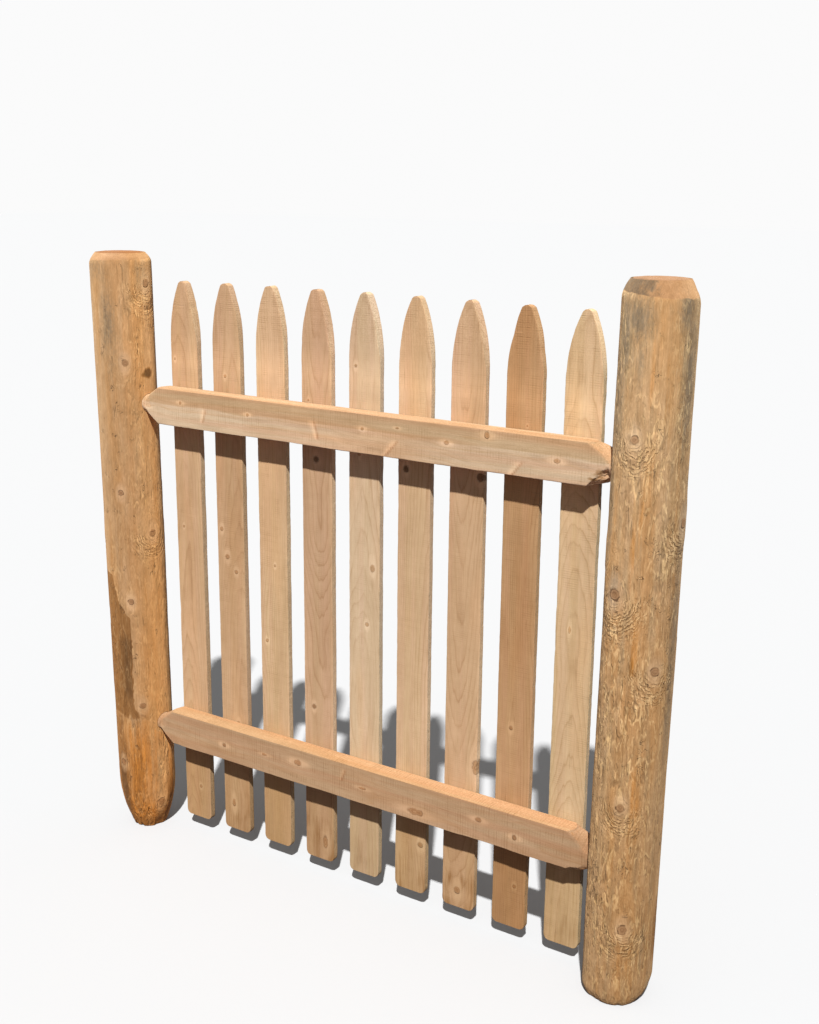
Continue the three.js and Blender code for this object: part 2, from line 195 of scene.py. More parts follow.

# Each post:
#   side: which way it stands from the middle; bevel_tilt, bevel_wider: how uneven its bevel is, see drop_at
#   and inset_at; barked: whether it keeps inner bark; grey_cuts: how grey its top and bevel are on their left
#   hewn: the angle from the front towards +X, depth and height of a cut at its foot
#   chipping, weathered: how rough its foot and how drab its wood is; clean: how little stain its cuts have
#   shade, top_shade, bevel_shade, sunny_tint: how light its wood, top, bevel and right front are
#   knots: height, angle, radius, how strongly ridges run round them
#   grey, brown, orange and flakes, which are patches: height, angle, half height, half width, strength
#   side_shades: how bright its wood is at angles, partly weathering and partly painted light and shade;
#       height_shades: and its colour at heights
POSTS = {
    "left": dict(
        side=-1, bevel_drop=17, bevel_inset=10.5, bevel_tilt=-0.14, bevel_round=6.0, bevel_wider=(0.40, 0.0),
        butt_rise=120, butt_inset=24, hewn=(-45, 4, 185),
        barked=True, chipping=1.0, weathered=0.30, clean=0.9, grey_cuts=(0.0, 0.0),
        shade=(1.0, 1.0, 1.0), top_shade=(0.60, 0.45, 0.36), bevel_shade=(1.0, 1.0, 1.0),
        sunny_tint=(1.0, 0.94, 0.80),
        knots=[(1082, 44, 8, 0.12), (1246, 95, 10, 0.7), (801, 23, 7.5, 0.0), (555, 31, 7.5, 0.0),
               (309, 43, 8, 0.12), (67, 73, 10, 0.4), (166, -7, 8, 0.0), (708, 81, 9, 0.9),
               (930, 190, 9, 0.6), (480, 215, 10, 0.7), (200, 160, 8, 0.5), (700, 300, 7, 0.5)],
        grey=[(1158, 14, 70, 14, 0.72), (1068, 16, 40, 8, 0.5), (1262, 84, 40, 18, 0.5),
              (1276, -20, 30, 30, 0.5), (860, 0, 110, 22, 0.25), (660, 12, 60, 8, 0.3),
              (150, 70, 110, 12, 0.55), (1000, 200, 250, 35, 0.7), (300, 240, 200, 40, 0.7)],
        brown=[(400, 12, 70, 16, 0.5), (10, 20, 30, 70, 0.7), (110, -12, 130, 17, 1.25),
               (70, 100, 80, 14, 0.9), (130, 25, 150, 46, 0.50), (1058, 89, 8, 7, 2.2),
               (1055, 81, 5, 7, 1.0), (120, 200, 140, 60, 0.7), (20, 84, 40, 20, 0.9)],
        orange=[(150, 30, 150, 27, 0.86), (30, 24, 90, 46, 0.90), (1000, 75, 160, 18, 0.3),
                (640, 45, 110, 18, 0.25)],
        flakes=[(1196, 76, 24, 24, 0.9), (1120, 70, 60, 10, 0.7), (990, 60, 90, 14, 0.6),
                (780, 60, 50, 20, 0.5), (672, 64, 30, 22, 0.5), (430, 60, 120, 20, 0.2),
                (150, 80, 110, 18, 0.8), (60, 30, 60, 50, 1.0), (190, 20, 90, 50, 0.9),
                (440, -10, 140, 34, 0.9), (600, 180, 500, 60, 0.5)],
        side_shades=(
            (-50, -20, 10, 35, 60, 80, 100, 180, 260),
            (0.98, 0.92, 0.90, 0.98, 1.06, 1.18, 1.36, 1.0, 0.95),
        ),
        height_shades=[
            (0, (0.88, 0.74, 0.58)),
            (300, (0.84, 0.78, 0.70)),
            (800, (0.88, 0.85, 0.81)),
            (1200, (1.05, 1.09, 1.12)),
        ],
    ),
    "right": dict(
        side=1, bevel_drop=27, bevel_inset=14.5, bevel_tilt=0.20, bevel_round=7.0, bevel_wider=(0.15, 0.12),
        butt_rise=22, butt_inset=7, hewn=(112, 15, 46),
        barked=False, chipping=0.5, weathered=0.75, clean=0.7, grey_cuts=(0.25, 0.86),
        shade=(0.97, 1.0, 1.03), top_shade=(0.72, 0.65, 0.66), bevel_shade=(0.93, 0.88, 0.80),
        sunny_tint=(1.0, 1.0, 1.0),
        knots=[(1055, -4, 9, 0.9), (785, -22, 12, 1.0), (656, 50, 9, 1.0), (401, 11, 9, 0.9),
               (162, 26, 10, 1.0), (912, 90, 10, 0.9), (1010, 200, 9, 0.8), (590, 170, 8, 0.8),
               (250, 225, 11, 0.9), (850, 290, 7, 0.7)],
        grey=[(1252, -10, 34, 20, 0.9), (1225, -34, 70, 18, 0.9), (1270, 66, 50, 14, 0.9),
              (1190, -2, 40, 8, 0.6), (1150, 80, 120, 18, 0.9), (1110, -46, 160, 18, 0.7),
              (960, -50, 120, 14, 0.7), (795, -26, 40, 12, 0.9), (700, 88, 250, 15, 0.85),
              (640, -54, 160, 14, 0.6), (912, 90, 50, 14, 0.7), (400, -50, 160, 12, 0.4),
              (60, -55, 60, 14, 0.4), (900, 190, 300, 45, 0.7), (300, 230, 250, 50, 0.6)],
        brown=[(140, 102, 70, 14, 0.9), (10, 20, 26, 80, 0.35), (664, 13, 22, 4.5, 0.62),
               (60, 200, 90, 60, 0.7)],
        orange=[(1120, 40, 120, 7, 0.5), (880, 8, 110, 12, 0.5), (700, 16, 60, 8, 0.5),
                (664, 14, 20, 4.0, 0.85), (1160, 18, 60, 5, 0.5), (420, 34, 120, 14, 0.6),
                (300, 2, 110, 16, 0.5), (90, 40, 90, 30, 0.40)],
        flakes=[(1130, -40, 200, 20, 0.5), (1060, 72, 180, 20, 0.6), (1000, 20, 90, 40, 0.8),
                (820, 60, 140, 24, 0.9), (730, -20, 70, 30, 1.0), (600, 10, 90, 50, 1.0),
                (540, -30, 140, 26, 1.0), (460, 20, 60, 40, 0.9), (330, 20, 80, 60, 1.0),
                (230, -20, 120, 50, 1.0), (100, 20, 100, 60, 1.0), (600, 190, 500, 60, 0.6)],
        side_shades=(
            (-60, -40, -10, 20, 50, 80, 180, 260),
            (1.25, 1.12, 1.03, 1.0, 0.88, 0.65, 0.9, 1.1),
        ),
        height_shades=[
            (0, (0.65, 0.60, 0.53)),
            (350, (0.76, 0.70, 0.61)),
            (800, (0.92, 0.90, 0.86)),
            (1200, (1.15, 1.17, 1.12)),
        ],
    ),
}

# The left post keeps its brown inner bark below this edge: heights and the angles where it ends there
BARK_HEIGHTS = (204, 246, 285, 300, 466, 515, 533, 556, 612, 625)
BARK_ANGLES = (110, 70, 48, 26, 28, 27, 15, 3, -11, -60)

# ---------------------------------------------------------------- colours, linear

PICKET_TAN = (0.575, 0.372, 0.208)
PICKET_LATE = (0.445, 0.252, 0.125)
SAWN_PINK = (0.585, 0.365, 0.215)
SAWN_WARM = (0.60, 0.325, 0.150)
RAIL_TAN = (0.605, 0.425, 0.262)
RAIL_LATE = (0.53, 0.31, 0.15)
POST_TAN = (0.615, 0.385, 0.200)
POST_LATE = (0.42, 0.235, 0.105)
POST_HONEY = (0.620, 0.345, 0.145)
POST_DRAB = (0.46, 0.315, 0.175)
# The next two are a cream for painted highlights on flake lips and ridge crests, and a dark for cracks,
# specks and squiggles that is also the painted shadow beside flakes
POST_HIGHLIGHT_CREAM = (0.95, 0.66, 0.34)
POST_DARK_AND_SHADOW = (0.15, 0.085, 0.042)
END_PEACH = (0.72, 0.43, 0.23)
POST_CUT = (0.67, 0.405, 0.210)
KNOT_CORE = (0.31, 0.150, 0.066)
KNOT_PALE = (0.50, 0.285, 0.145)
KNOT_RIM = (0.15, 0.075, 0.036)
KNOT_HALO = (0.83, 0.58, 0.36)
SAWN_KNOT = (0.37, 0.170, 0.066)
SAWN_KNOT_PALE = (0.56, 0.32, 0.155)
SAWN_KNOT_HALO = (0.80, 0.54, 0.33)
GREY_STAIN = (0.195, 0.158, 0.115)
BROWN_STAIN = (0.30, 0.135, 0.036)
DARK_STAIN = (0.155, 0.078, 0.030)
ORANGE_STAIN = (0.70, 0.300, 0.056)
ZINC = (0.47, 0.475, 0.48)
DARK_ZINC = (0.33, 0.335, 0.34)
RUST = (0.17, 0.062, 0.025)

# ---------------------------------------------------------------- small helpers


class Noise:
    """Smooth random values from -1 to 1 in space."""

    CELLS = 32

    def __init__(self, seed):
        self.values = np.random.default_rng(seed).uniform(-1, 1, (self.CELLS,) * 3)

    def __call__(self, points, *size):
        """The values at points, where size is how large the features are along x, y and z."""
        scaled = points / np.array(size, float)
        cell = np.floor(scaled).astype(int)
        part = scaled - cell
        part = part * part * (3 - 2 * part)
        total = np.zeros(len(points))
        for corner in itertools.product((0, 1), repeat=3):
            weight = np.where(corner, part, 1 - part).prod(axis=1)
            i, j, k = ((cell + corner) % self.CELLS).T
            total += weight * self.values[i, j, k]
        return total


def smooth_step(low, high, x):
    t = np.clip((x - low) / (high - low), 0, 1)
    return t * t * (3 - 2 * t)


def smooth_min(a, b, width):
    """The lower of a and b, with a rounded turn between them."""
    h = np.clip(0.5 + (b - a) / (2 * width), 0, 1)
    return b + (a - b) * h - width * h * (1 - h)


def spaced(low, high, step):
    return np.linspace(low, high, max(2, round(abs(high - low) / step) + 1))


def joined(*runs):
    """Several rising runs of places as one, without doubles."""
    places = np.concatenate(runs)
    return np.unique(np.round(places, 4))


def tinted(share, tint):
    """What a shade is multiplied by where it takes on a share of a tint."""
    return 1 + share[:, None] * (np.array(tint) - 1)


def box_mm(node):
    """The low and high corners of a CAD node, in mm."""
    low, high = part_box(node)
    return np.array(low) / MM, np.array(high) / MM


def mesh_object(name, vertices, faces):
    """An object from points in mm and faces."""
    mesh = bpy.data.meshes.new(name)
    mesh.from_pydata((np.asarray(vertices) * MM).tolist(), [], faces)
    mesh.update()
    made = bpy.data.objects.new(name, mesh)
    bpy.context.scene.collection.objects.link(made)
    return made


def lofted(name, rings):
    """A closed skin through rings of points, an array of rows by columns by 3."""
    rows, columns, _ = rings.shape
    index = np.arange(rows * columns).reshape(rows, columns)
    after = np.roll(index, -1, axis=1)
    quads = np.stack([index[:-1], after[:-1], after[1:], index[1:]], axis=-1).reshape(-1, 4)
    faces = quads.tolist() + [index[0, ::-1].tolist(), index[-1].tolist()]
    return mesh_object(name, rings.reshape(-1, 3), faces)


def places_of(made):
    """The points of an object's mesh, in mm."""
    mesh = made.data
    flat = np.empty(len(mesh.vertices) * 3, np.float32)
    mesh.vertices.foreach_get("co", flat)
    return flat.reshape(-1, 3).astype(float) / MM


def cut_out(made, cutters):
    """Takes the cutters out of an object and removes them."""
    for cutter in cutters:
        step = made.modifiers.new("cut", "BOOLEAN")
        step.operation = "DIFFERENCE"
        step.solver = "MANIFOLD"
        step.object = cutter
    bpy.context.view_layer.update()
    evaluated = made.evaluated_get(bpy.context.evaluated_depsgraph_get())
    cut = bpy.data.meshes.new_from_object(evaluated)
    made.modifiers.clear()
    whole = made.data
    made.data = cut
    bpy.data.meshes.remove(whole)
    cut.name = made.name
    for cutter in cutters:
        bpy.data.meshes.remove(cutter.data)


def set_attribute(made, name, values):
    """Stores a number or three numbers for each point of a mesh."""
    values = np.asarray(values, np.float32)
    kind, field = ("FLOAT", "value") if values.ndim == 1 else ("FLOAT_VECTOR", "vector")
    attribute = made.data.attributes.new(name, kind, "POINT")
    attribute.data.foreach_set(field, values.ravel())


def rod(name, radius, start, end, sides, mouth=0.0):
    """A round cutter from start to end, in mm, which opens by mouth at its start."""
    start, end = np.array(start, float), np.array(end, float)
    along = (end - start) / np.linalg.norm(end - start)
    side = np.cross(along, UP if abs(along[2]) < 0.9 else (1, 0, 0))
    side /= np.linalg.norm(side)
    turns = np.linspace(0, 2 * math.pi, sides, endpoint=False)
    circle = np.outer(np.cos(turns), side) + np.outer(np.sin(turns), np.cross(along, side))
    rings = np.stack([start + circle * (radius + mouth), end + circle * radius])
    return lofted(name, rings)


def finish_piece(made, node, material):
    """Makes an object stand for a CAD node."""
    made.data.shade_smooth()
    made.data.set_sharp_from_angle(angle=SHARPEST_SMOOTH)
    made.data.materials.clear()
    made.data.materials.append(material)
    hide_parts(node)
    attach(made, "root")
    return made


# ---------------------------------------------------------------- where points lie in the wood


def knot_fields(across, along, knots):
    """How the grain bends round knots, and the knot nearest to each point.

    Returns the places across the grain with the knots' bend in them, how much darker each knot makes the
    wood, and the offsets to the nearest knot with its radius, which shrinks to 0 away from it.
    """
    bent = across.copy()
    best = np.full(len(across), np.inf)
    local = np.zeros((len(across), 3))
    darker = np.zeros(len(across))
    for x, z, radius, *more in knots:
        dark = more[0] if more else 0.0
        stretch = more[1] if len(more) > 1 else 1.0
        dx, dz = across - x, (along - z) / stretch
        reach = radius * 1.15
        flow = dx * dx + (0.42 * dz) ** 2
        bent -= 0.85 * dx * reach**2 / np.maximum(flow, reach**2)
        distance = np.hypot(dx, 0.8 * dz) / radius
        nearer = distance < best
        best[nearer] = distance[nearer]
        size = radius * (1 - smooth_step(3.2, 5.0, distance[nearer]))
        local[nearer] = np.stack([dx[nearer], dz[nearer], size], axis=1)
        darker = darker + dark * smooth_step(1.35, 0.75, np.hypot(dx, dz) / radius)
    return bent, darker, local


def store_wood(made, grain, rings, knot, shade, stain, cut):
    """Gives a piece what the wood materials read. Lengths go in as mm and are stored in metres."""
    for name, lengths in (("grain", grain), ("rings", rings), ("knot", knot)):
        set_attribute(made, name, lengths * MM)
    for name, shares in (("shade", shade), ("stain", stain), ("cut", cut)):
        set_attribute(made, name, shares)


def board_wood(made, place, knots, heart, noise, rng, shade, cut, stain, scratch=None):
    """Stores the wood of a sawn board whose log's heart runs beside it.

    place is across, through and along the board. heart is where the log's heart lies across and through the
    board at its middle, and how far it drifts over the board's length.
    """
    across, through, along = place.T
    bent, darker, knot = knot_fields(across, along, knots)
    share = (along - along.mean()) / np.ptp(along)
    line = place * [0, 0, 1]
    sway = noise(line + 300, 1, 1, 260) * 7 + noise(line + 900, 1, 1, 90) * 2
    u = bent - heart[0] - heart[2] * share
    d = through - heart[1] - heart[3] * share - sway
    grain = np.stack([bent, through, along], axis=1) + rng.uniform(100, 900, 3)
    store_wood(made, grain, np.hypot(u, d), knot, shade * (1 - 0.62 * darker)[:, None], stain, cut)
    scratch = np.full(len(place), NO_SCRATCH) if scratch is None else scratch
    set_attribute(made, "scratch", scratch * MM)


# ---------------------------------------------------------------- pickets


def picket_half_width(height, length, half):
    """Half the width of a picket at a height above its foot."""
    shoulder = length - PICKET_POINT
    above = np.clip(height - shoulder, 0, PICKET_POINT - PICKET_TIP_ROUND)
    # The side of the point is a quadratic curve whose height is 2 F t + (P - R - 2 F) t^2
    a = PICKET_POINT - PICKET_TIP_ROUND - 2 * PICKET_FULLNESS
    b = 2 * PICKET_FULLNESS
    t = (np.sqrt(b * b + 4 * a * above) - b) / (2 * a)
    side = half - t * t * (half - PICKET_TIP_HALF)
    tip = PICKET_TIP_HALF * np.sqrt(np.clip((length - height) / PICKET_TIP_ROUND, 0, 1))
    foot = PICKET_FOOT_ROUND * (1 - np.sqrt(np.clip(height / PICKET_FOOT_ROUND, 0, 1))) ** 2
    return np.where(height > length - PICKET_TIP_ROUND, tip, side) - foot


def rounded(points, half_x, half_y, radius):
    """Points of a rectangle's edge with its corners rounded to a radius."""
    inner = np.stack(
        [
            np.clip(points[..., 0], radius - half_x, half_x - radius),
            np.clip(points[..., 1], radius - half_y, half_y - radius),
        ],
        axis=-1,
    )
    out = points - inner
    length = np.maximum(np.linalg.norm(out, axis=-1, keepdims=True), 1e-9)
    return inner + out / length * np.minimum(length, radius[..., None])


def rectangle_walk(columns_x, columns_y):
    """Points round a rectangle from -1 to 1, closer together at its corners."""

    def side(columns, corner):
        even = np.linspace(-1 + corner, 1 - corner, columns)
        return np.concatenate([[-1 + corner * 0.45], even, [1 - corner * 0.45]])

    long_side = side(columns_x, 0.045)
    short_side = side(columns_y, 0.16)
    front = [(x, -1) for x in long_side]
    right = [(1, y) for y in short_side]
    back = [(-x, 1) for x in long_side]
    left = [(-1, -y) for y in short_side]
    return np.array(front + right + back + left, float)


def picket(number):
    """A pointed picket with worn edges, a rough sawn face and its own knots and nicks."""
    node = f"picket_{number}"
    low, high = box_mm(node)
    base = np.array([(low[0] + high[0]) / 2, (low[1] + high[1]) / 2, low[2]])
    half, half_depth = (high[:2] - low[:2]) / 2
    length = high[2] - low[2]
    noise = Noise(200 + number)
    points = picket_points(PICKETS[number], half, half_depth, length, noise)
    made = lofted(f"board_{node}", points + base)
    rng = np.random.default_rng(100 + number)
    store_picket_wood(made, PICKETS[number], places_of(made) - base, half, half_depth, length, noise, rng)
    return finish_piece(made, node, PICKET_WOOD)


def picket_points(facts, half, half_depth, length, noise):
    """Rows of points round a picket, from its foot up, measured from the middle of its foot."""
    heights = joined(
        PICKET_FOOT_ROUND * np.linspace(0, 1, 7) ** 2,
        spaced(PICKET_FOOT_ROUND + 2, length - 14, 3.4),
        spaced(length - 14, length - 4, 1.2),
        length - PICKET_TIP_ROUND * np.linspace(0.8, 0.14, 7) ** 2,
    )
    walk = rectangle_walk(21, 5)
    width = picket_half_width(heights, length, half)
    rows = np.broadcast_to(walk, (len(heights), *walk.shape)).copy()
    rows[..., 0] *= width[:, None]
    rows[..., 1] *= half_depth
    z = np.broadcast_to(heights[:, None], rows.shape[:2])
    solid = np.stack([rows[..., 0], rows[..., 1], z], axis=-1).reshape(-1, 3)
    wear = 1.1 + 0.7 * noise(solid + 50, 30, 30, 35) + 0.35 * noise(solid + 80, 9, 9, 9)
    wear *= 1 - 0.5 * smooth_step(length - PICKET_POINT, length - 90, solid[:, 2]) * (solid[:, 0] > 0)
    wear = np.clip(wear, 0.35, 2.4).reshape(z.shape)
    wear = np.minimum(wear, 0.45 * width[:, None])
    section = rounded(rows, width[:, None], half_depth, wear)

    # The sides are planed less evenly than the faces
    flat = np.stack([section[..., 0], section[..., 1], z], axis=-1).reshape(-1, 3)
    near_side = smooth_step(0.55, 1.0, np.abs(flat[:, 0]) / np.repeat(width, len(walk)))
    ragged = 0.5 * np.clip(noise(flat + 130, 25, 12, 9), 0, 1)
    ragged += 0.6 * np.clip(noise(flat, 60, 40, 70), 0, 1)
    for side, at, reach, depth in facts["nicks"]:
        ragged += depth * np.exp(-(((flat[:, 2] - at) / reach) ** 2)) * (flat[:, 0] * side > 0)
    face = 0.22 * (1 + noise(flat + 400, 22, 22, 90)) * smooth_step(0, 14, heights.repeat(len(walk)))
    face = face + 0.14 * (1 + noise(flat + 520, 40, 40, 6.5)) * facts["sawn"]
    drop, slope, arch, left_carve = facts["tip"]
    leaning = left_carve * np.exp((flat[:, 2] - length) / 45) * (flat[:, 0] < 0)
    leaning += picket_slant(facts, flat, length, half_depth)
    flat[:, 0] -= np.sign(flat[:, 0]) * (ragged + leaning) * near_side
    flat[:, 1] -= np.sign(flat[:, 1]) * face * smooth_step(0.5, 0.95, np.abs(flat[:, 1]) / half_depth)

    # The blunt tip is a saw cut of its own
    sawn = length - drop - slope * flat[:, 0] - arch * flat[:, 0] ** 2 + 0.25 * noise(flat + 77, 4, 4, 4)
    flat[:, 2] = smooth_min(flat[:, 2], sawn, 0.5)
    flat[:, 2] += (0.8 + 0.5 * noise(flat + 31, 14, 14, 14)) * (flat[:, 2] < 0.1)
    return flat.reshape(*z.shape, 3)


def store_picket_wood(made, facts, place, half, half_depth, length, noise, rng):
    """Stores what the sawn wood material reads on a picket."""
    x, y, z = place.T
    from_side = picket_half_width(z, length, half) - np.abs(x)
    from_side -= picket_slant(facts, place, length, half_depth)
    side = smooth_step(2.4, 1.2, from_side)
    side = np.where(np.abs(y) > half_depth - 1.4, np.minimum(side, 0.25), side)
    cut = np.where(z > length - 4, 0.8, 0.0) + np.where(z < 1.2, 0.7, 0.0)
    pointed = smooth_step(length - PICKET_POINT, length - 60, z)
    # Painted light on the sides, strongest on the point, and painted shade where a picket's side factor is
    # low, as on the picket beside the right post
    straight_side = PICKET_SIDE_LIGHT * facts["side"]
    side_shade = straight_side + (PICKET_POINT_SIDE_LIGHT - straight_side) * pointed[:, None]
    shade = facts["shade"] * tinted(side, side_shade)
    # Painted highlight: a light line along the right front edge, where the edge's fuzz catches the light
    edge_highlight = smooth_step(3.6, 1.2, from_side) * (x > 0) * (y < 0) * (1 - side)
    shade *= (1 + 0.10 * edge_highlight)[:, None]
    # Darker towards the feet, and painted light in a band just above the upper rail
    shade *= np.interp(z, PICKET_HEIGHTS, PICKET_HEIGHT_SHADES)[:, None]
    shade *= tinted(smooth_step(300, 200, z), PICKET_FOOT_TINT)
    stain = foot_dirt(facts, place, noise)
    scratch = scratch_gap(facts, place)
    board_wood(made, place, facts["knots"], facts["heart"], noise, rng, shade, cut, stain, scratch)
    set_attribute(made, "rough", np.clip(side + 0.10 + 0.35 * pointed, 0, 1))
    set_attribute(made, "saw", facts["sawn"] * (0.75 + 0.45 * pointed))


def picket_slant(facts, place, length, half_depth):
    """How far the front of a point's right side leans in, in mm."""
    on_point = smooth_step(length - PICKET_POINT - 10, length - 80, place[:, 2]) * (place[:, 0] > 0)
    return facts["slant"] * on_point * (0.5 - 0.5 * place[:, 1] / half_depth)


def foot_dirt(facts, place, noise):
    """Grey and brown dirt splashed up a picket's foot."""
    splashed = smooth_step(210, 20, place[:, 2]) * (1 + 0.5 * noise(place + 61, 14, 40, 30))
    return splashed[:, None] * [0.12, facts["dirt"], 0.0]


def scratch_gap(facts, place):
    """How far each point of a picket lies from the scratch across its front, in mm, if there is one."""
    if "scratch" not in facts:
        return None
    height, slope, start, end = facts["scratch"]
    beside = np.maximum(start - place[:, 0], place[:, 0] - end).clip(0)
    return np.abs(place[:, 2] - height - slope * place[:, 0]) + 4 * beside + 20 * (place[:, 1] > 0)


# ---------------------------------------------------------------- rails


def rail(name):
    """A sawn rail whose two ends are sharpened to round tenons."""
    node = f"{name}_rail"
    facts = RAILS[name]
    low, high = box_mm(node)
    middle = np.array([0.0, *(low[1:] + high[1:]) / 2])
    half_depth, half_height = (high[1:] - low[1:]) / 2
    noise = Noise(335 + facts["seed"])
    left_end = post_face("left", middle[2]) + SHOULDER_GAP
    right_end = post_face("right", middle[2]) - SHOULDER_GAP

    left_plain, right_plain = left_end + RAIL_END_LENGTH, right_end - RAIL_END_LENGTH
    places = joined(
        spaced(low[0], left_end - 3, 4),
        spaced(left_end - 3, left_plain, 1.1),
        spaced(left_plain, right_plain, 3.6),
        spaced(right_plain, right_end + 3, 1.1),
        spaced(right_end + 3, high[0], 4),
    )
    rows = worn_beam(places, half_depth, half_height, noise)
    flat = rows.reshape(-1, 3)
    kept = np.ones(len(flat))
    for side, end in ((-1, left_end), (1, right_end)):
        sharpen(flat, kept, facts, side, end, half_depth, half_height, noise)
    sawn = 0.28 * (1 + noise(flat + 500, 70, 20, 20)) + 0.12 * (1 + noise(flat + 700, 7, 12, 12))
    sawn += 0.9 * smooth_step(0.1, 0.5, noise(flat + 840, 60, 30, 26)) * smooth_step(8, -6, flat[:, 2])
    sawn *= smooth_step(0.985, 1.0, kept)
    outward = flat[:, 1:] / np.array([half_depth, half_height])
    outward = np.sign(outward) * smooth_step(0.9, 1.0, np.abs(outward))
    flat[:, 1:] -= outward * sawn[:, None]

    made = lofted(f"beam_{node}", (flat + middle).reshape(rows.shape))
    rng = np.random.default_rng(facts["seed"])
    place = places_of(made) - middle
    store_rail_wood(made, facts, place, left_end, right_end, half_depth, half_height, noise, rng)
    return finish_piece(made, node, RAIL_WOOD)


def worn_beam(places, half_depth, half_height, noise):
    """Rows of points round a sawn rail with worn edges, before its ends are sharpened."""
    walk = rectangle_walk(30, 16)[::-1]
    walk = np.stack([walk[:, 1], walk[:, 0]], axis=1)
    rows = np.broadcast_to(walk, (len(places), *walk.shape)).copy()
    rows[..., 0] *= half_depth
    rows[..., 1] *= half_height
    x = np.broadcast_to(places[:, None], rows.shape[:2])
    solid = np.stack([x, rows[..., 0], rows[..., 1]], axis=-1).reshape(-1, 3)
    wear = 1.5 + 0.9 * noise(solid + 50, 45, 30, 30) + 0.4 * noise(solid + 80, 10, 10, 10)
    section = rounded(rows, half_depth, half_height, np.clip(wear, 0.6, 3.2).reshape(x.shape))
    return np.stack([x, section[..., 0], section[..., 1]], axis=-1)


def sharpen(flat, kept, facts, side, end, half_depth, half_height, noise):
    """Carves the end of a rail on one side, and notes the share of each radius that is kept."""
    form = facts["left_end"] if side < 0 else facts["right_end"]
    inward = side * (end - flat[:, 0])
    here = inward < RAIL_END_LENGTH
    part, inside = flat[here], inward[here]
    reach = np.linalg.norm(part[:, 1:], axis=1)
    angle = np.arctan2(part[:, 2], -part[:, 1])
    carved = smooth_step(TAPER_LENGTH + 4, TAPER_LENGTH - 12, inside) * smooth_step(0, 3, inside)
    flute = np.stack([part[:, 0], *(part[:, 1:] / reach[:, None] * 60).T], axis=1)
    chips = 0.7 * (1 + noise(flute, 60, 13, 13)) + 0.35 * (1 + noise(flute + 40, 14, 5, 5))
    if side > 0:
        chips = chips + facts["torn"] * rail_tears(part, inside, noise)
    slope = (math.hypot(half_depth, half_height) - TENON_RADIUS) / TAPER_LENGTH
    cone = rail_end_radius(form, inside, angle, slope) - chips * carved
    front = rail_flat(form, inside, half_depth) - 0.35 * (1 + noise(flute + 90, 9, 9, 9)) * carved
    to_front = np.where(part[:, 1] < -1, front / np.maximum(-part[:, 1] / reach, 0.02), FREE)
    upper = smooth_step(-22, -6, part[:, 2])
    limit = np.minimum(cone, np.where(inside > 0, to_front * upper + FREE * (1 - upper), FREE))
    share = np.clip(smooth_min(reach, limit, 0.5) / reach, 0, 1)
    part[:, 1:] *= share[:, None]
    flat[here] = part
    kept[here] = share


def rail_tears(place, inward, noise):
    """How deep the wood is torn out at the lower corner of a rail's right end."""
    here = smooth_step(46, 30, inward) * smooth_step(4, -14, place[:, 2])
    rough = 2.4 * (1 + noise(place + 150, 11, 5, 5)) + 1.1 * (1 + noise(place + 10, 4, 3, 3))
    return 0.8 * here * rough


def rail_end_radius(form, inward, angle, slope):
    """The radius of a sharpened rail end, where angle runs from its front upwards."""
    cone = TENON_RADIUS + slope * np.maximum(inward, 0)
    near = smooth_step(44, 6, inward) * smooth_step(-0.5, 0.5, inward)
    for sign, bulges in ((1, form["fuller"]), (-1, form["deeper"])):
        for degrees, half_width, amount in bulges:
            turn = turn_gap(angle, math.radians(degrees)) / math.radians(half_width)
            cone += sign * amount * near * np.exp(-(turn**2))
    return cone


def rail_flat(form, inward, half_depth):
    """How far forward a rail end reaches where its front was cut flat before it was rounded."""
    if not form["flat"]:
        return np.full(len(inward), half_depth)
    return half_depth - 4.2 * np.clip(1 - inward / form["flat"], 0, 1)


def store_rail_wood(made, facts, place, left_end, right_end, half_depth, half_height, noise, rng):
    """Stores what the sawn wood material reads on a rail."""
    x, y, z = place.T
    from_right = right_end - x
    inward = np.minimum(x - left_end, from_right)
    flush = (np.abs(y) > half_depth - 2.6) | (np.abs(z) > half_height - 2.6)
    on_cone = (inward < TAPER_LENGTH + 8) & ~flush
    cut = np.where(inward < 0, 0.8, np.where(on_cone, 1.0, 0.0))
    top = smooth_step(half_height - 1.5, half_height - 0.6, z)
    shade = facts["shade"] * tinted(top, facts["top_shade"])
    if "band" in facts:
        seam = 6 + 5 * noise(place, 90, 60, 60) + 1.2 * noise(place + 33, 16, 16, 16)
        shade *= tinted(smooth_step(seam - 0.9, seam + 0.9, z) * (1 - top), facts["band"])
    pale, line = spike_marks(facts, place)
    shade *= 1 + 0.30 * pale[:, None] - line[:, None] * [0.30, 0.46, 0.56]
    torn = np.clip(facts["torn"] * rail_tears(place, from_right, noise) / 5, 0, 1)
    stain = np.zeros((len(place), 3))
    stain[:, 1] = 0.8 * torn * smooth_step(TAPER_LENGTH + 6, TAPER_LENGTH - 8, from_right)
    stain[:, 2] = on_cone * (x > 0) * RAIL_END_ORANGE
    knots = [(up, along, *more) for along, up, *more in facts["knots"]]
    board_wood(made, place[:, ::-1], knots, facts["heart"], noise, rng, shade, cut, stain)
    set_attribute(made, "rough", 0.25 + 0.75 * np.maximum(top, cut))
    set_attribute(made, "saw", facts["sawn"] + facts["top_sawn"] * top)


def spike_marks(facts, place):
    """The pale wood of branches that lie along a rail's face and the dark line beside it, from 0 to 1."""
    pale, line = np.zeros(len(place)), np.zeros(len(place))
    for along, up, half_long, lean, width in facts["spikes"]:
        above = place[:, 2] - up
        off = place[:, 0] - along - lean * above
        inside = smooth_step(1.15, 0.75, np.abs(above) / half_long)
        fan = width * (1 + 0.5 * above / half_long)
        pale = np.maximum(pale, inside * np.exp(-((off / fan) ** 2)))
        line = np.maximum(line, inside * np.exp(-(((off - 0.9 * width) / 2.4) ** 2)))
    for along, up, radius, *_ in facts["knots"]:
        away = ((place[:, 0] - along) / (3.4 * radius)) ** 2 + ((place[:, 2] - up) / (1.1 * radius)) ** 2
        pale = np.maximum(pale, 0.8 * np.exp(-away))
    return pale, line


# ---------------------------------------------------------------- posts


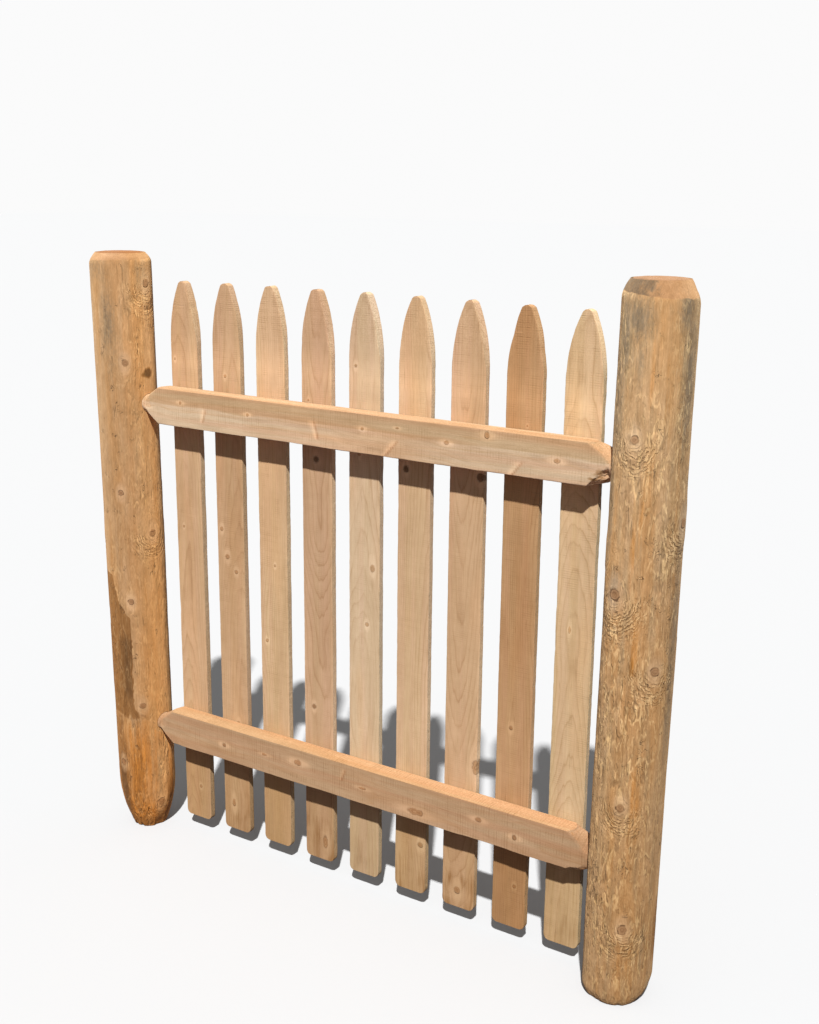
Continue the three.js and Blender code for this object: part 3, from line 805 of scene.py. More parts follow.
def post_axis(name):
    """A post's radius, the x of its axis at the ground and its lean per mm of height."""
    facts = POSTS[name]
    low, high = box_mm(f"{name}_post")
    radius = (high[1] - low[1]) / 2
    straight = high[2] - facts["bevel_drop"] - facts["butt_rise"]
    lean = (high[0] - low[0] - 2 * radius) / straight
    inner = (high[0] if facts["side"] < 0 else low[0]) + facts["side"] * radius
    return radius, inner - facts["side"] * lean * facts["butt_rise"], facts["side"] * lean


def post_face(name, height):
    """The x of the side of a post that faces the pickets, at a height."""
    radius, foot, lean = post_axis(name)
    return foot + lean * height - POSTS[name]["side"] * radius


def turn_gap(a, b):
    """The way from angle b to angle a, in radians."""
    return (a - b + math.pi) % (2 * math.pi) - math.pi


def round_log(angle, reach, height):
    """Points round an upright axis, where the angle runs from the front towards +X."""
    return np.stack([np.sin(angle) * reach, -np.cos(angle) * reach, height], axis=1)


def patch_field(height, angle, patches):
    """How strongly the nearest patch covers each point, from 0 to 1."""
    total = np.zeros(len(height))
    for at, degrees, half_height, half_degrees, strength in patches:
        up = (height - at) / half_height
        round_it = turn_gap(angle, math.radians(degrees)) / math.radians(half_degrees)
        total = np.maximum(total, strength * np.exp(-0.7 * (up * up + round_it * round_it)))
    return total


def wrapped_knot_fields(angle, height, knots, radius):
    """Like knot_fields, for a surface that closes on itself.

    Returns how far the grain is bent sideways, how much the log swells, the offsets to the nearest knot with
    its radius, and the distance to the knot whose ridges are strongest with their strength.
    """
    bend = np.zeros(len(angle))
    best = np.full(len(angle), np.inf)
    local = np.zeros((len(angle), 3))
    swell = np.zeros(len(angle))
    swirl = np.zeros((len(angle), 3))
    for at, degrees, size, ridged in knots:
        dx = turn_gap(angle, math.radians(degrees)) * radius
        dz = height - at
        reach = size * 1.2
        bend -= 0.7 * dx * reach**2 / (dx * dx + (0.42 * dz) ** 2 + 0.7 * reach**2)
        swell += np.exp(-(dx * dx + (0.62 * dz) ** 2) / (2 * (1.7 * size) ** 2)) * size
        distance = np.hypot(dx, 0.85 * dz) / size
        nearer = distance < best
        best[nearer] = distance[nearer]
        shown = size * (1 - smooth_step(3.2, 5.0, distance[nearer]))
        local[nearer] = np.stack([dx[nearer], dz[nearer], shown], axis=1)
        away = np.hypot(dx, np.where(dz > 0, 0.6, 0.85) * dz)
        below = 0.12 + 0.88 * smooth_step(1.2, -1.4, dz / size)
        strength = ridged * below * np.exp(-(((away - 3.5 * size) / (2.2 * size)) ** 2))
        stronger = strength > swirl[:, 1]
        swirl[stronger, 0] = away[stronger]
        swirl[stronger, 1] = strength[stronger]
    return bend, swell, local, swirl


def butt_side(facts, radius, z, angle):
    """The radius of a post with its worn butt, which is hewn deeper on one side."""
    worn = np.clip(1 - z / facts["butt_rise"], 0, 1)
    side = radius - facts["butt_inset"] * worn**2
    degrees, depth, rise = facts["hewn"]
    towards = np.clip(np.cos(angle - math.radians(degrees)), 0, 1)
    return side - depth * towards**2 * np.clip(1 - z / rise, 0, 1) ** 1.6


def drop_at(facts, angle):
    """Height of the bevel round the top of a post, which was cut a little askew."""
    return facts["bevel_drop"] * (1 + facts["bevel_tilt"] * np.sin(angle))


def inset_at(facts, angle):
    """How far the bevel reaches in round the top of a post, at least as far as the CAD part's."""
    base, right = facts["bevel_wider"]
    return facts["bevel_inset"] * (1 + base + right * np.sin(angle))


def peeled_relief(facts, noise, skin, angle, swell, swirl):
    """How deep the peeled surface of a post lies below the full log, in mm."""
    z = skin[:, 2]
    relief = 0.85 * (1 + noise(skin, 70, 70, 210)) + 0.30 * (1 + noise(skin + 200, 12, 12, 110))
    warp = 9 * noise(skin + 300, 26, 26, 60)
    bent = skin + warp[:, None] * [1.0, 1.0, 0.4]
    flakes = smooth_step(-0.08, 0.14, noise(bent + 500, 9.0, 9.0, 48))
    relief += 0.95 * flakes * (0.20 + 0.80 * patch_field(z, angle, facts["flakes"]))
    turns = 2 * math.pi * swirl[:, 0] / 9.0 + 3.0 * noise(skin + 700, 22, 22, 20)
    relief += 0.85 * swirl[:, 1] * (1 + np.sin(turns))
    if facts["barked"]:
        relief += 0.9 * (1 - bark_cover(z, angle, noise, skin)) * smooth_step(640, 560, z)
    return relief - 0.9 * swell * smooth_step(0, 3, relief)


def bark_cover(z, angle, noise, skin):
    """1 where the left post keeps its inner bark, else 0."""
    edge = np.radians(np.interp(z, BARK_HEIGHTS, BARK_ANGLES))
    ripple = 0.05 * noise(skin + 333, 9, 9, 24) + 0.03 * noise(skin + 433, 4, 4, 7)
    start = math.radians(-75)
    return smooth_step(0.03, -0.03, angle - edge - ripple) * smooth_step(start - 0.1, start + 0.1, angle)


def pin_place(name, rail_name):
    """The x and height of the pin through a tenon in a post, and the y of its tip."""
    low, high = box_mm(f"{name}_post_{rail_name}_pin")
    return (low[0] + high[0]) / 2, (low[2] + high[2]) / 2, low[1]


def pin_seats(name, skin):
    """Where the log has to stay full, round the heads of the pin nails."""
    seat = np.zeros(len(skin))
    for rail_name in RAILS:
        level = pin_place(name, rail_name)[1]
        near = np.hypot(skin[:, 0], skin[:, 2] - level)
        seat = np.maximum(seat, (1 - smooth_step(7, 22, near)) * (skin[:, 1] > 0))
    return seat


def post_cutters(name, radius):
    """The mortises and pin holes of a post."""
    side = POSTS[name]["side"]
    cutters = []
    for rail_name in RAILS:
        x, level, tip = pin_place(name, rail_name)
        mouth = (x - side * (radius + 2), 0, level)
        bottom = (x + side * MORTISE_PAST_AXIS, 0, level)
        cutters.append(rod("mortise", TENON_RADIUS + TENON_CLEARANCE, mouth, bottom, 64, mouth=0.5))
        outside, inside = (x, radius + 2, level), (x, tip - 1, level)
        cutters.append(rod("pin_hole", PIN_RADIUS + NAIL_CLEARANCE, outside, inside, 16))
    return cutters


def post(name):
    """A peeled log with knots, flakes and ridges, a bevelled top and a worn, splintered butt."""
    node = f"{name}_post"
    facts = POSTS[name]
    radius, foot, lean = post_axis(name)
    top = box_mm(node)[1][2]
    noise = Noise(400 + facts["side"])
    rng = np.random.default_rng(410 + facts["side"])

    angles = np.linspace(-math.pi, math.pi, POST_COLUMNS, endpoint=False)
    levels = joined(spaced(0, 36, 2), spaced(36, top - 46, 2.65), spaced(top - 46, top, 1.4))
    # The shares of its outline that each ring of the foot and of the top reaches
    foot_shares = np.linspace(0.06, 1, 13)[:-1]
    top_shares = 1 - 0.94 * np.linspace(0, 1, 20)[1:] ** 1.5
    height = np.concatenate([np.zeros(len(foot_shares)), levels, np.full(len(top_shares), top)])
    share = np.repeat(np.concatenate([foot_shares, np.ones(len(levels)), top_shares]), POST_COLUMNS)
    z = np.repeat(height, POST_COLUMNS)
    angle = np.tile(angles, len(height))

    skin = round_log(angle, radius, z)
    points = round_log(angle, log_radius(name, radius, top, noise, skin, angle) * share, z)
    points[:, 0] += foot + lean * z
    points[:, 2] = chipped_height(facts, radius, top, noise, skin, share)
    made = lofted(f"log_{node}", points.reshape(len(height), POST_COLUMNS, 3))
    cut_out(made, post_cutters(name, radius))
    store_post_wood(made, name, noise, rng, top)
    return finish_piece(made, node, POST_WOOD)


def log_radius(name, radius, top, noise, skin, angle):
    """How far the surface of a post lies from its axis."""
    facts = POSTS[name]
    z = skin[:, 2]
    inset = inset_at(facts, angle)
    drop = drop_at(facts, angle) + 0.8 * noise(skin, 25, 25, 25)
    bevel = radius - inset + (top - z) * inset / drop
    shape = smooth_min(butt_side(facts, radius, z, angle), bevel, facts["bevel_round"])
    _, swell, _, swirl = wrapped_knot_fields(angle, z, facts["knots"], radius)
    relief = np.maximum(peeled_relief(facts, noise, skin, angle, swell, swirl), 0.0)
    splits = np.clip(noise(skin * [1, 1, 0.4] + 650, 13, 13, 26) + 0.25, 0, 1)
    relief += 4.0 * facts["chipping"] * smooth_step(60, 0, z) * splits
    relief *= smooth_step(top - 6, top - 20, z) * 0.85 + 0.15
    relief *= 1 - pin_seats(name, skin)
    return shape - relief


def chipped_height(facts, radius, top, noise, skin, share):
    """The heights of a post's points, with its top's rim worn and its underside and butt chipped."""
    z = skin[:, 2]
    is_top = z > top - 0.01
    rim = np.where(is_top, np.clip((1 - share) * radius / 12, 0, 1), 1)
    lifted = z - 4.2 * (1 - rim) ** 2 - np.where(is_top, 0.25 * (1 + noise(skin + 90, 9, 9, 9)), 0) * rim
    lifted += np.where(z < 0.01, 0.6 * (1 + noise(skin + 60, 10, 10, 10)), 0)
    chips = 6.0 * facts["chipping"] * np.clip(noise(skin * [1, 1, 0] + 820, 12, 12, 9), 0, 1)
    return lifted + chips * smooth_step(14, 0, z) * (share > 0.9)


def store_post_wood(made, name, noise, rng, top):
    """Stores what the peeled wood material reads."""
    facts = POSTS[name]
    radius, foot, lean = post_axis(name)
    place = places_of(made)
    z = place[:, 2]
    x, y = place[:, 0] - foot - lean * z, place[:, 1]
    angle = np.arctan2(x, -y)
    reach = np.hypot(x, y)
    bend, swell, knot, swirl = wrapped_knot_fields(angle, z, facts["knots"], radius)
    solid = np.stack([x, y, z], axis=1)
    grain = round_log(angle + bend / radius, reach, z)
    warp = 1.6 * noise(solid + 70, 36, 36, 300) + 0.7 * noise(solid + 170, 15, 15, 120)
    rings = reach + warp - 0.9 * swell - 0.004 * z

    is_top = (z > top - 3.0) & (reach < radius - inset_at(facts, angle) + 0.5)
    edge = top - 0.94 * drop_at(facts, angle) + 1.6 * noise(solid + 15, 7, 7, 7)
    on_bevel = smooth_step(-1.2, 1.2, z - edge)
    cut = np.where(is_top, 1.0, 0.85 * on_bevel)
    cut = np.where(z < 1.5, 0.6, cut)
    is_cut = smooth_step(0.3, 0.8, cut)
    degrees = np.degrees(np.where(angle < math.radians(-90), angle + 2 * math.pi, angle))
    shade = log_shade(facts, z, degrees, is_top, on_bevel, cut)

    stain = np.stack([patch_field(z, angle, facts[kind]) for kind in ("grey", "brown", "orange")], axis=1)
    if facts["barked"]:
        stain_bark(stain, z, angle, degrees, noise, round_log(angle, radius, z))
    stain *= (1 - facts["clean"] * is_cut)[:, None]
    greyed = smooth_step(24, -2, degrees + 11 * noise(solid + 11, 6, 6, 6)) * is_cut
    stain[:, 0] = np.maximum(stain[:, 0], np.where(is_top, *facts["grey_cuts"]) * greyed)

    flaky = 0.15 + 0.85 * patch_field(z, angle, facts["flakes"])
    swirl[:, 1] *= (1 - is_cut) / MM
    swirl[:, 2] = flaky * (1 - is_cut) / MM
    set_attribute(made, "swirl", swirl * MM)
    set_attribute(made, "rough", np.full(len(z), facts["weathered"]))
    store_wood(made, grain + rng.uniform(100, 900, 3), rings, knot, shade, stain, cut)


def log_shade(facts, z, degrees, is_top, on_bevel, cut):
    """How light the wood of a post is, in red, green and blue."""
    levels, colours = zip(*facts["height_shades"])
    upright = np.stack([np.interp(z, levels, channel) for channel in zip(*colours)], axis=1)
    # Brightness round the post is partly weathering and partly painted light and shade; the sunny tint warms
    # the painted light on the right front
    bright = np.interp(degrees, *facts["side_shades"])[:, None] * upright
    bright = np.where(cut[:, None] > 0.4, 1.0, bright)
    sunny = smooth_step(30, 75, degrees) * smooth_step(150, 110, degrees)
    shade = facts["shade"] * bright * tinted(sunny, facts["sunny_tint"])
    shade[is_top] *= facts["top_shade"]
    return shade * tinted(on_bevel * ~is_top, facts["bevel_shade"])


def stain_bark(stain, z, angle, degrees, noise, skin):
    """Colours the inner bark that the left post keeps, which is darkest in a block at mid height."""
    bark = bark_cover(z, angle, noise, skin)
    ragged_z = z + 9 * noise(skin + 44, 12, 12, 9) + 5 * noise(skin + 144, 4, 4, 6)
    above = smooth_step(262, 296, ragged_z)
    block = smooth_step(300, 345, ragged_z) * smooth_step(492, 455, ragged_z)
    block *= smooth_step(-4, 7, degrees + 4 * noise(skin + 24, 9, 9, 40))
    amount = 0.70 * above + 0.30 * block
    leftmost = smooth_step(14, -10, degrees) * (1 - above)
    stain[:, 1] = np.maximum(stain[:, 1], bark * np.maximum(amount, 0.62 * leftmost))
    stain[:, 2] = np.maximum(stain[:, 2], bark * 0.42) * (1 - 0.45 * above * bark)
    stain[:, 2] *= np.where(z > 300, np.maximum(0.3, bark), 1.0)


# ---------------------------------------------------------------- nails


def nail(node, radius, head_radius, head_thickness):
    """A round wire nail whose head lies on the +Y side, slightly domed and dented by the hammer."""
    low, high = box_mm(node)
    x, z = (low[0] + high[0]) / 2, (low[2] + high[2]) / 2
    tip, crown = low[1], high[1]
    rng = np.random.default_rng(sum(map(ord, node)))
    seat = crown - head_thickness
    profile = [
        (0.12 * radius, tip),
        (radius * 0.55, tip + radius * 1.6),
        (radius, tip + radius * 3.2),
        (radius, (tip + seat) / 2),
        (radius, seat - 0.5),
        (radius * 1.18, seat),
        (head_radius * 0.93, seat + 0.02),
        (head_radius, seat + head_thickness * 0.3),
        (head_radius, seat + head_thickness * 0.55),
        (head_radius * 0.93, seat + head_thickness * 0.8),
        (head_radius * 0.70, crown - 0.10),
        (head_radius * 0.42, crown - 0.02),
        (head_radius * 0.12, crown),
    ]
    turns = np.linspace(0, 2 * math.pi, NAIL_COLUMNS, endpoint=False)
    rings = []
    lean = rng.uniform(-0.035, 0.035, 2)
    for reach, level in profile:
        out_x, out_z = reach * np.sin(turns), reach * np.cos(turns)
        on_head = level > seat + head_thickness * 0.7
        dent = rng.uniform(0, 0.06, NAIL_COLUMNS) if on_head else 0.0
        tilt = (out_x * lean[0] + out_z * lean[1] - np.hypot(*lean) * reach) if on_head else 0.0
        out_y = np.broadcast_to(level - dent + tilt, turns.shape)
        rings.append(np.stack([x + out_x, out_y, z + out_z], axis=-1))
    made = lofted(f"driven_{node}", np.array(rings))
    return finish_piece(made, node, NAIL_STEEL)


# ---------------------------------------------------------------- node helpers


class Value:
    """A number, vector or colour that a material's nodes work out."""

    def __init__(self, nodes, socket):
        self.nodes = nodes
        self.socket = socket

    def __add__(self, other):
        return self.nodes.math("ADD", self, other)

    def __sub__(self, other):
        return self.nodes.math("SUBTRACT", self, other)

    def __rsub__(self, other):
        return self.nodes.math("SUBTRACT", other, self)

    def __mul__(self, other):
        return self.nodes.math("MULTIPLY", self, other)

    def __truediv__(self, other):
        return self.nodes.math("DIVIDE", self, other)

    def __abs__(self):
        return self.nodes.math("ABSOLUTE", self)

    def spread(self, low, high, to_low=0.0, to_high=1.0):
        """This number mapped smoothly from one range to another."""
        inputs = (self, low, high, to_low, to_high)
        return self.nodes.value("ShaderNodeMapRange", "Result", inputs, interpolation_type="SMOOTHSTEP")

    def split(self):
        """The three numbers of this vector."""
        return [self.nodes.value("ShaderNodeSeparateXYZ", axis, (self,)) for axis in "XYZ"]

    def moved(self, *offset):
        """This place moved, so that noise there is unlike the noise here."""
        return self.nodes.vector("ADD", self, offset)

    def noise(self, across, along, detail=2.0, roughness=0.5, distortion=0.0):
        """Noise from 0 to 1 at this place. Its features are 1/across wide and 1/along long, in metres."""
        inputs = {
            "Vector": self.nodes.vector("MULTIPLY", self, (across, across, along)),
            "Scale": 1.0,
            "Detail": detail,
            "Roughness": roughness,
            "Distortion": distortion,
        }
        return self.nodes.value("ShaderNodeTexNoise", "Fac", inputs, noise_dimensions="3D")


class Nodes:
    """Short ways to build the nodes of a material or a world."""

    def __init__(self, owner):
        owner.use_nodes = True
        self.owner = owner
        self.tree = owner.node_tree

    def feed(self, node, inputs):
        """Links or sets a node's inputs, which are listed in order or named."""
        for key, source in inputs.items() if isinstance(inputs, dict) else enumerate(inputs):
            if isinstance(source, Value):
                self.tree.links.new(source.socket, node.inputs[key])
            else:
                node.inputs[key].default_value = source

    def value(self, kind, output, inputs=(), **settings):
        """What a new node gives."""
        node = self.tree.nodes.new(kind)
        for key, setting in settings.items():
            setattr(node, key, setting)
        self.feed(node, inputs)
        return Value(self, node.outputs[output])

    def attribute(self, name, output="Fac"):
        return self.value("ShaderNodeAttribute", output, attribute_name=name)

    def math(self, operation, *inputs):
        return self.value("ShaderNodeMath", "Value", inputs, operation=operation)

    def vector(self, operation, *inputs):
        return self.value("ShaderNodeVectorMath", "Vector", inputs, operation=operation)

    def ramp(self, share, stops):
        """A curve of grey values through (place, value) stops."""
        made = self.value("ShaderNodeValToRGB", "Color", (share,))
        curve = made.socket.node.color_ramp
        curve.interpolation = "EASE"
        while len(curve.elements) < len(stops):
            curve.elements.new(0.5)
        for element, (at, level) in zip(curve.elements, stops):
            element.position = at
            element.color = (level, level, level, 1)
        return made

    def mix(self, share, a, b, blend="MIX"):
        """Colour a with a share of colour b in it."""
        a, b = ((*colour, 1.0) if isinstance(colour, tuple) else colour for colour in (a, b))
        inputs = {"Factor": share, "A": a, "B": b}
        return self.value("ShaderNodeMix", "Result", inputs, data_type="RGBA", blend_type=blend)

    def toned(self, colour, tone):
        """A colour made lighter or darker by a share, where what is darker is also browner."""
        channels = [self.math("POWER", tone, power) for power in (0.80, 1.0, 1.30)]
        return self.mix(1.0, colour, self.value("ShaderNodeCombineColor", "Color", channels), "MULTIPLY")

    def bump(self, height, strength=1.0, distance=1.0):
        """The direction of a surface whose relief has a height in metres."""
        inputs = {"Strength": strength, "Distance": distance, "Height": height}
        return self.value("ShaderNodeBump", "Normal", inputs)

    def finished(self, inputs):
        """The material, once its shader has what it reads."""
        self.feed(self.tree.nodes["Principled BSDF"], inputs)
        return self.owner


# ---------------------------------------------------------------- materials

SAW_STRENGTH = 0.17  # how much the saw's strokes darken a board
POST_RING_PITCH = 2.2  # in mm
RIDGE_PITCH = 5.6  # of the ridges round a post's knots, in mm
KNOT_RELIEF = 0.0004  # in metres
WOOD_GLOSS = 0.22
FLAKE_LEVEL = 0.48  # the value of the noise along whose line a flake is torn


def knot_shading(n, colour, grain, hearts, halo_colour, rim_share):
    """Knots with an uneven dark rim and a tinted surround. Returns the new colour and their relief."""
    across, along, radius = n.attribute("knot", "Vector").split()
    size = n.math("MAXIMUM", radius, 1e-5)
    kx, kz = across / size, along / size
    far = n.math("SQRT", kx * kx + kz * kz)
    long_far = n.math("SQRT", kx * kx + kz * kz * 0.3)
    bent = far - 0.55 + grain.noise(150, 110, 3, 0.6) * 1.1
    exists = radius.spread(0.0004, 0.0016)
    core = bent.spread(0.70, 1.02, 1.0, 0.0) * exists
    broken = grain.noise(90, 70, 1).spread(0.42, 0.58, 0.05, 1.0)
    edge = abs(bent - 0.90).spread(0.0, 0.20, 1.0, 0.0) * broken * exists
    halo = long_far.spread(0.9, 2.2, 1.0, 0.0) * exists
    circles = n.math("SINE", bent * 13.0) * 0.5 + 0.5
    colour = n.mix(halo * 0.40, colour, halo_colour)
    colour = n.mix(core * 0.80, colour, n.mix(circles * 0.7, *hearts))
    colour = n.mix(edge * rim_share, colour, KNOT_RIM)
    return colour, (core - edge) * KNOT_RELIEF


def stained(n, colour, grain, grey, brown, orange):
    """Grey, orange and brown stains with ragged, mottled edges."""
    ragged = grain.noise(70, 12, 4, 0.62)
    grey_edge = grey + ragged * 0.6 + grain.noise(330, 110, 4, 0.7) * 1.1
    colour = n.mix(grey_edge.spread(0.95, 1.95, 0.0, 0.80), colour, GREY_STAIN)
    orange_edge = orange + ragged * 0.30 + grain.noise(85, 5, 4, 0.6) * 1.1
    colour = n.mix(orange_edge.spread(1.0, 1.6, 0.0, 0.92), colour, ORANGE_STAIN)
    brown_edge = brown + grain.noise(230, 9, 4, 0.65) * 0.9
    shown = brown.spread(0.05, 0.25)
    colour = n.mix(brown_edge.spread(0.70, 1.15, 0.0, 0.85) * shown, colour, BROWN_STAIN)
    return n.mix(brown_edge.spread(1.15, 1.60, 0.0, 0.85) * shown, colour, DARK_STAIN)


def finished_wood(n, colour, tone, roughness, diffuse_roughness, height):
    """The material of a wood, with its tone, the shade of its place and its relief in metres."""
    inputs = {
        "Base Color": n.mix(1.0, n.toned(colour, tone), n.attribute("shade", "Color"), "MULTIPLY"),
        "Roughness": roughness,
        "Diffuse Roughness": diffuse_roughness,
        "Specular IOR Level": WOOD_GLOSS,
        "Normal": n.bump(height),
    }
    return n.finished(inputs)


def sawn_wood(name, early, late, ring_pitch, ring_strength, saw_pitch):
    """Sawn conifer wood, drawn from where each point lies in its log. The pitches are in mm."""
    n = Nodes(bpy.data.materials.new(name))
    grain = n.attribute("grain", "Vector")
    cut = n.attribute("cut")
    rough = n.attribute("rough")

    # Bands of yellower and pinker wood along the board
    colour = n.mix(grain.noise(58, 1.4, 2).spread(0.36, 0.64), SAWN_PINK, early)
    warm = grain.moved(3.1, 1.7, 0.9).noise(18, 2.8)
    colour = n.mix(warm.spread(0.44, 0.75, 0.0, 0.40), colour, SAWN_WARM)

    # Growth rings: pale early wood that darkens slowly and ends in a thin dark line
    phase = n.attribute("rings") * (1000 / ring_pitch)
    phase = phase + grain.noise(120, 7, 3) * 0.6 + grain.noise(26, 2.2) * 2.2
    stops = [(0.0, 0.25), (0.08, 0.02), (0.5, 0.06), (0.80, 0.34), (0.93, 1.0), (1.0, 0.25)]
    line = n.ramp(n.math("FRACT", phase), stops)
    patchy = grain.noise(30, 4).spread(0.32, 0.68, 0.35, 1.0)
    colour = n.mix(line * patchy * ring_strength, colour, late)

    # Fibres, pores, slow changes of tone, resin dashes and fuzz
    fibre = grain.noise(480, 14, 4, 0.6)
    fine = grain.noise(1500, 60, 2, 0.6)
    fuzz = grain.noise(620, 330, 3, 0.7)
    tone = fibre.spread(0.25, 0.75, 0.925, 1.065) * fine.spread(0.2, 0.8, 0.955, 1.045)
    tone = tone * grain.noise(20, 3.0, 3, 0.55).spread(0.25, 0.75, 0.90, 1.09)
    tone = tone * grain.noise(55, 26, 3, 0.6).spread(0.25, 0.75, 0.96, 1.04)
    tone = tone * grain.noise(330, 20, 1).spread(0.70, 0.80, 1.0, 0.80)
    tone = tone * (fuzz.spread(0.28, 0.72, -0.20, 0.20) * rough + 1.0)

    # Saw marks across the board, in patches
    stroke = grain.split()[2] * (2 * math.pi * 1000 / saw_pitch) + grain.noise(30, 26) * 4.0
    teeth = n.math("SINE", stroke) * 0.5 + 0.5
    where = grain.noise(60, 10).spread(0.38, 0.62, 0.15, 1.0)
    each = grain.noise(10, 120, 2, 0.7).spread(0.34, 0.66, 0.0, 1.25)
    saw = teeth * teeth * where * each * n.attribute("saw")
    tone = tone * (saw * -SAW_STRENGTH + (1.0 + SAW_STRENGTH * 0.2))

    # Pale scratches
    scratch = n.attribute("scratch").spread(0.0005, 0.0016, 1.0, 0.0)
    scratch = scratch * grain.noise(130, 130, 2).spread(0.40, 0.55, 0.25, 1.0)
    tone = tone + scratch * 0.22

    # Cut ends are rawer and pinker
    colour = n.mix(cut * 0.55, colour, END_PEACH)
    colour = stained(n, colour, grain, *n.attribute("stain", "Vector").split())
    hearts = (SAWN_KNOT, SAWN_KNOT_PALE)
    colour, knot_relief = knot_shading(n, colour, grain, hearts, SAWN_KNOT_HALO, 0.38)

    height = line * (0.00018 * ring_strength) + fibre * 0.00040 + fine * 0.00012
    height = height - saw * (0.0012 * SAW_STRENGTH) - scratch * 0.0004
    height = height + fuzz * rough * 0.0011 + knot_relief
    return finished_wood(n, colour, tone, fibre.spread(0.3, 0.7, 0.78, 0.92), 0.8, height)


def flake_lines(grain, across, along, width, shown):
    """Torn flakes: the painted highlight of a lip, the painted shadow in the gap beside it, and the step
    between them.
    """
    field = grain.noise(across, along, 2.0, 0.5, 0.35) - FLAKE_LEVEL
    shown = grain.noise(across, along * 1.3, 1).spread(0.50, 0.58) * shown
    lit_lip = abs(field).spread(width * 0.3, width, 1.0, 0.0)
    gap_shadow = abs(field - 1.7 * width).spread(width * 0.2, width, 1.0, 0.0)
    step = field.spread(-width, 2.4 * width)
    return lit_lip * shown, gap_shadow * shown, step * shown


def peeled_wood(name):
    """The outside of a peeled log, which is ridged, flaky and weathered."""
    n = Nodes(bpy.data.materials.new(name))
    grain = n.attribute("grain", "Vector")
    grey, brown, orange = n.attribute("stain", "Vector").split()
    from_knot, ridged, flaky = n.attribute("swirl", "Vector").split()
    cut = n.attribute("cut")
    weathered = n.attribute("rough")
    skin = 1.0 - cut

    # Streaks of honey, tan and drab wood along the log
    colour = n.mix(grain.noise(24, 2.2, 3).spread(0.38, 0.62), POST_TAN, POST_HONEY)
    drab = grain.noise(62, 6.0, 4, 0.6).spread(0.44, 0.70, 0.0, 0.85)
    colour = n.mix(drab * weathered, colour, POST_DRAB)
    streak = grain.noise(150, 7.0, 4, 0.62).spread(0.50, 0.72, 0.05, 0.60)
    colour = n.mix(streak * weathered, colour, POST_LATE)

    # Growth rings show where the surface was peeled across them, round the knots
    phase = n.attribute("rings") * (1000 / POST_RING_PITCH)
    phase = phase + grain.noise(120, 20, 3) * 1.6 + grain.noise(28, 6) * 2.6
    stops = [(0.0, 0.30), (0.16, 0.04), (0.5, 0.16), (0.80, 0.62), (0.92, 1.0), (1.0, 0.30)]
    line = n.ramp(n.math("FRACT", phase), stops)
    colour = n.mix(line * (ridged * 0.22 + 0.14), colour, POST_LATE)

    # Fibres, mottling and wrinkles, with painted shade in the wrinkles' creases and painted highlights on
    # their folds
    fibre = grain.noise(420, 16, 4, 0.62)
    fine = grain.noise(1100, 120, 3, 0.65)
    wrinkle = grain.noise(150, 52, 3, 0.6, 0.9)
    mottle = grain.noise(75, 30, 4, 0.65)
    tone = fibre.spread(0.25, 0.75, 0.88, 1.11) * fine.spread(0.25, 0.75, 0.92, 1.08)
    tone = tone * mottle.spread(0.28, 0.72, 0.88, 1.10)
    wrinkle_light_and_shade = wrinkle.spread(0.30, 0.50, -0.28, 0.0) + wrinkle.spread(0.54, 0.70, 0.0, 0.16)
    tone = tone * (wrinkle_light_and_shade * flaky + 1.0)

    # Uneven ridges that run round the knots, with painted shade in their troughs and painted highlights on
    # their crests
    wave = from_knot * (2 * math.pi * 1000 / RIDGE_PITCH) + grain.noise(80, 60, 3, 0.65) * 22.0
    wave = n.math("SINE", wave)
    broken = grain.noise(130, 80, 2, 0.6).spread(0.38, 0.58) * ridged
    waves = wave.spread(0.1, 1.0) * broken
    crest_highlights = wave.spread(-0.3, -0.9) * broken * 0.80
    tone = tone * (waves * -0.26 + 1.02)

    # Drying cracks
    crack = abs(grain.noise(75, 3.4, 3) - 0.5).spread(0.003, 0.011, 1.0, 0.0)
    crack = crack * grain.noise(30, 12, 1).spread(0.62, 0.72) * skin
    colour = n.mix(crack * 0.60, colour, POST_DARK_AND_SHADOW)

    # Cut ends are rawer
    colour = n.mix(cut * 0.80, colour, POST_CUT)
    colour = stained(n, colour, grain, grey, brown, orange)

    # Painted highlights on the ridges' crests; flakes and long torn fibres, with a painted highlight on each
    # lip and painted shadow in the crevice beside it
    colour = n.mix(crest_highlights, colour, POST_HIGHLIGHT_CREAM)
    shown = flaky * skin
    clean = (brown + orange).spread(0.25, 0.80, 1.0, 0.25)
    lit_lip, gap_shadow, step = flake_lines(grain, 66, 17, 0.036, shown)
    lit_lip_2, gap_shadow_2, step_2 = flake_lines(grain.moved(5.3, 2.9, 1.7), 125, 32, 0.055, shown)
    lit_lip_3, gap_shadow_3, _ = flake_lines(grain.moved(2.1, 7.4, 3.2), 110, 4.5, 0.044, shown)
    for found, strength in ((lit_lip, 0.86), (lit_lip_2, 0.66), (lit_lip_3, 0.36)):
        colour = n.mix(found * strength * clean, colour, POST_HIGHLIGHT_CREAM)
    for found, strength in ((gap_shadow, 0.44), (gap_shadow_2, 0.30), (gap_shadow_3, 0.15)):
        colour = n.mix(found * strength, colour, POST_DARK_AND_SHADOW)

    # Dark specks and short black squiggles
    specks = grain.noise(420, 230, 1).spread(0.70, 0.78)
    colour = n.mix(specks * weathered * 0.55, colour, POST_DARK_AND_SHADOW)
    squiggle = abs(grain.noise(60, 42, 1, 0.5, 2.2) - 0.5).spread(0.006, 0.020, 1.0, 0.0)
    squiggle = squiggle * grain.moved(1.3, 4.1, 2.2).noise(42, 40, 1).spread(0.62, 0.70) * skin
    colour = n.mix(squiggle * 0.8, colour, POST_DARK_AND_SHADOW)
    colour, knot_relief = knot_shading(n, colour, grain, (KNOT_CORE, KNOT_PALE), KNOT_HALO, 0.9)

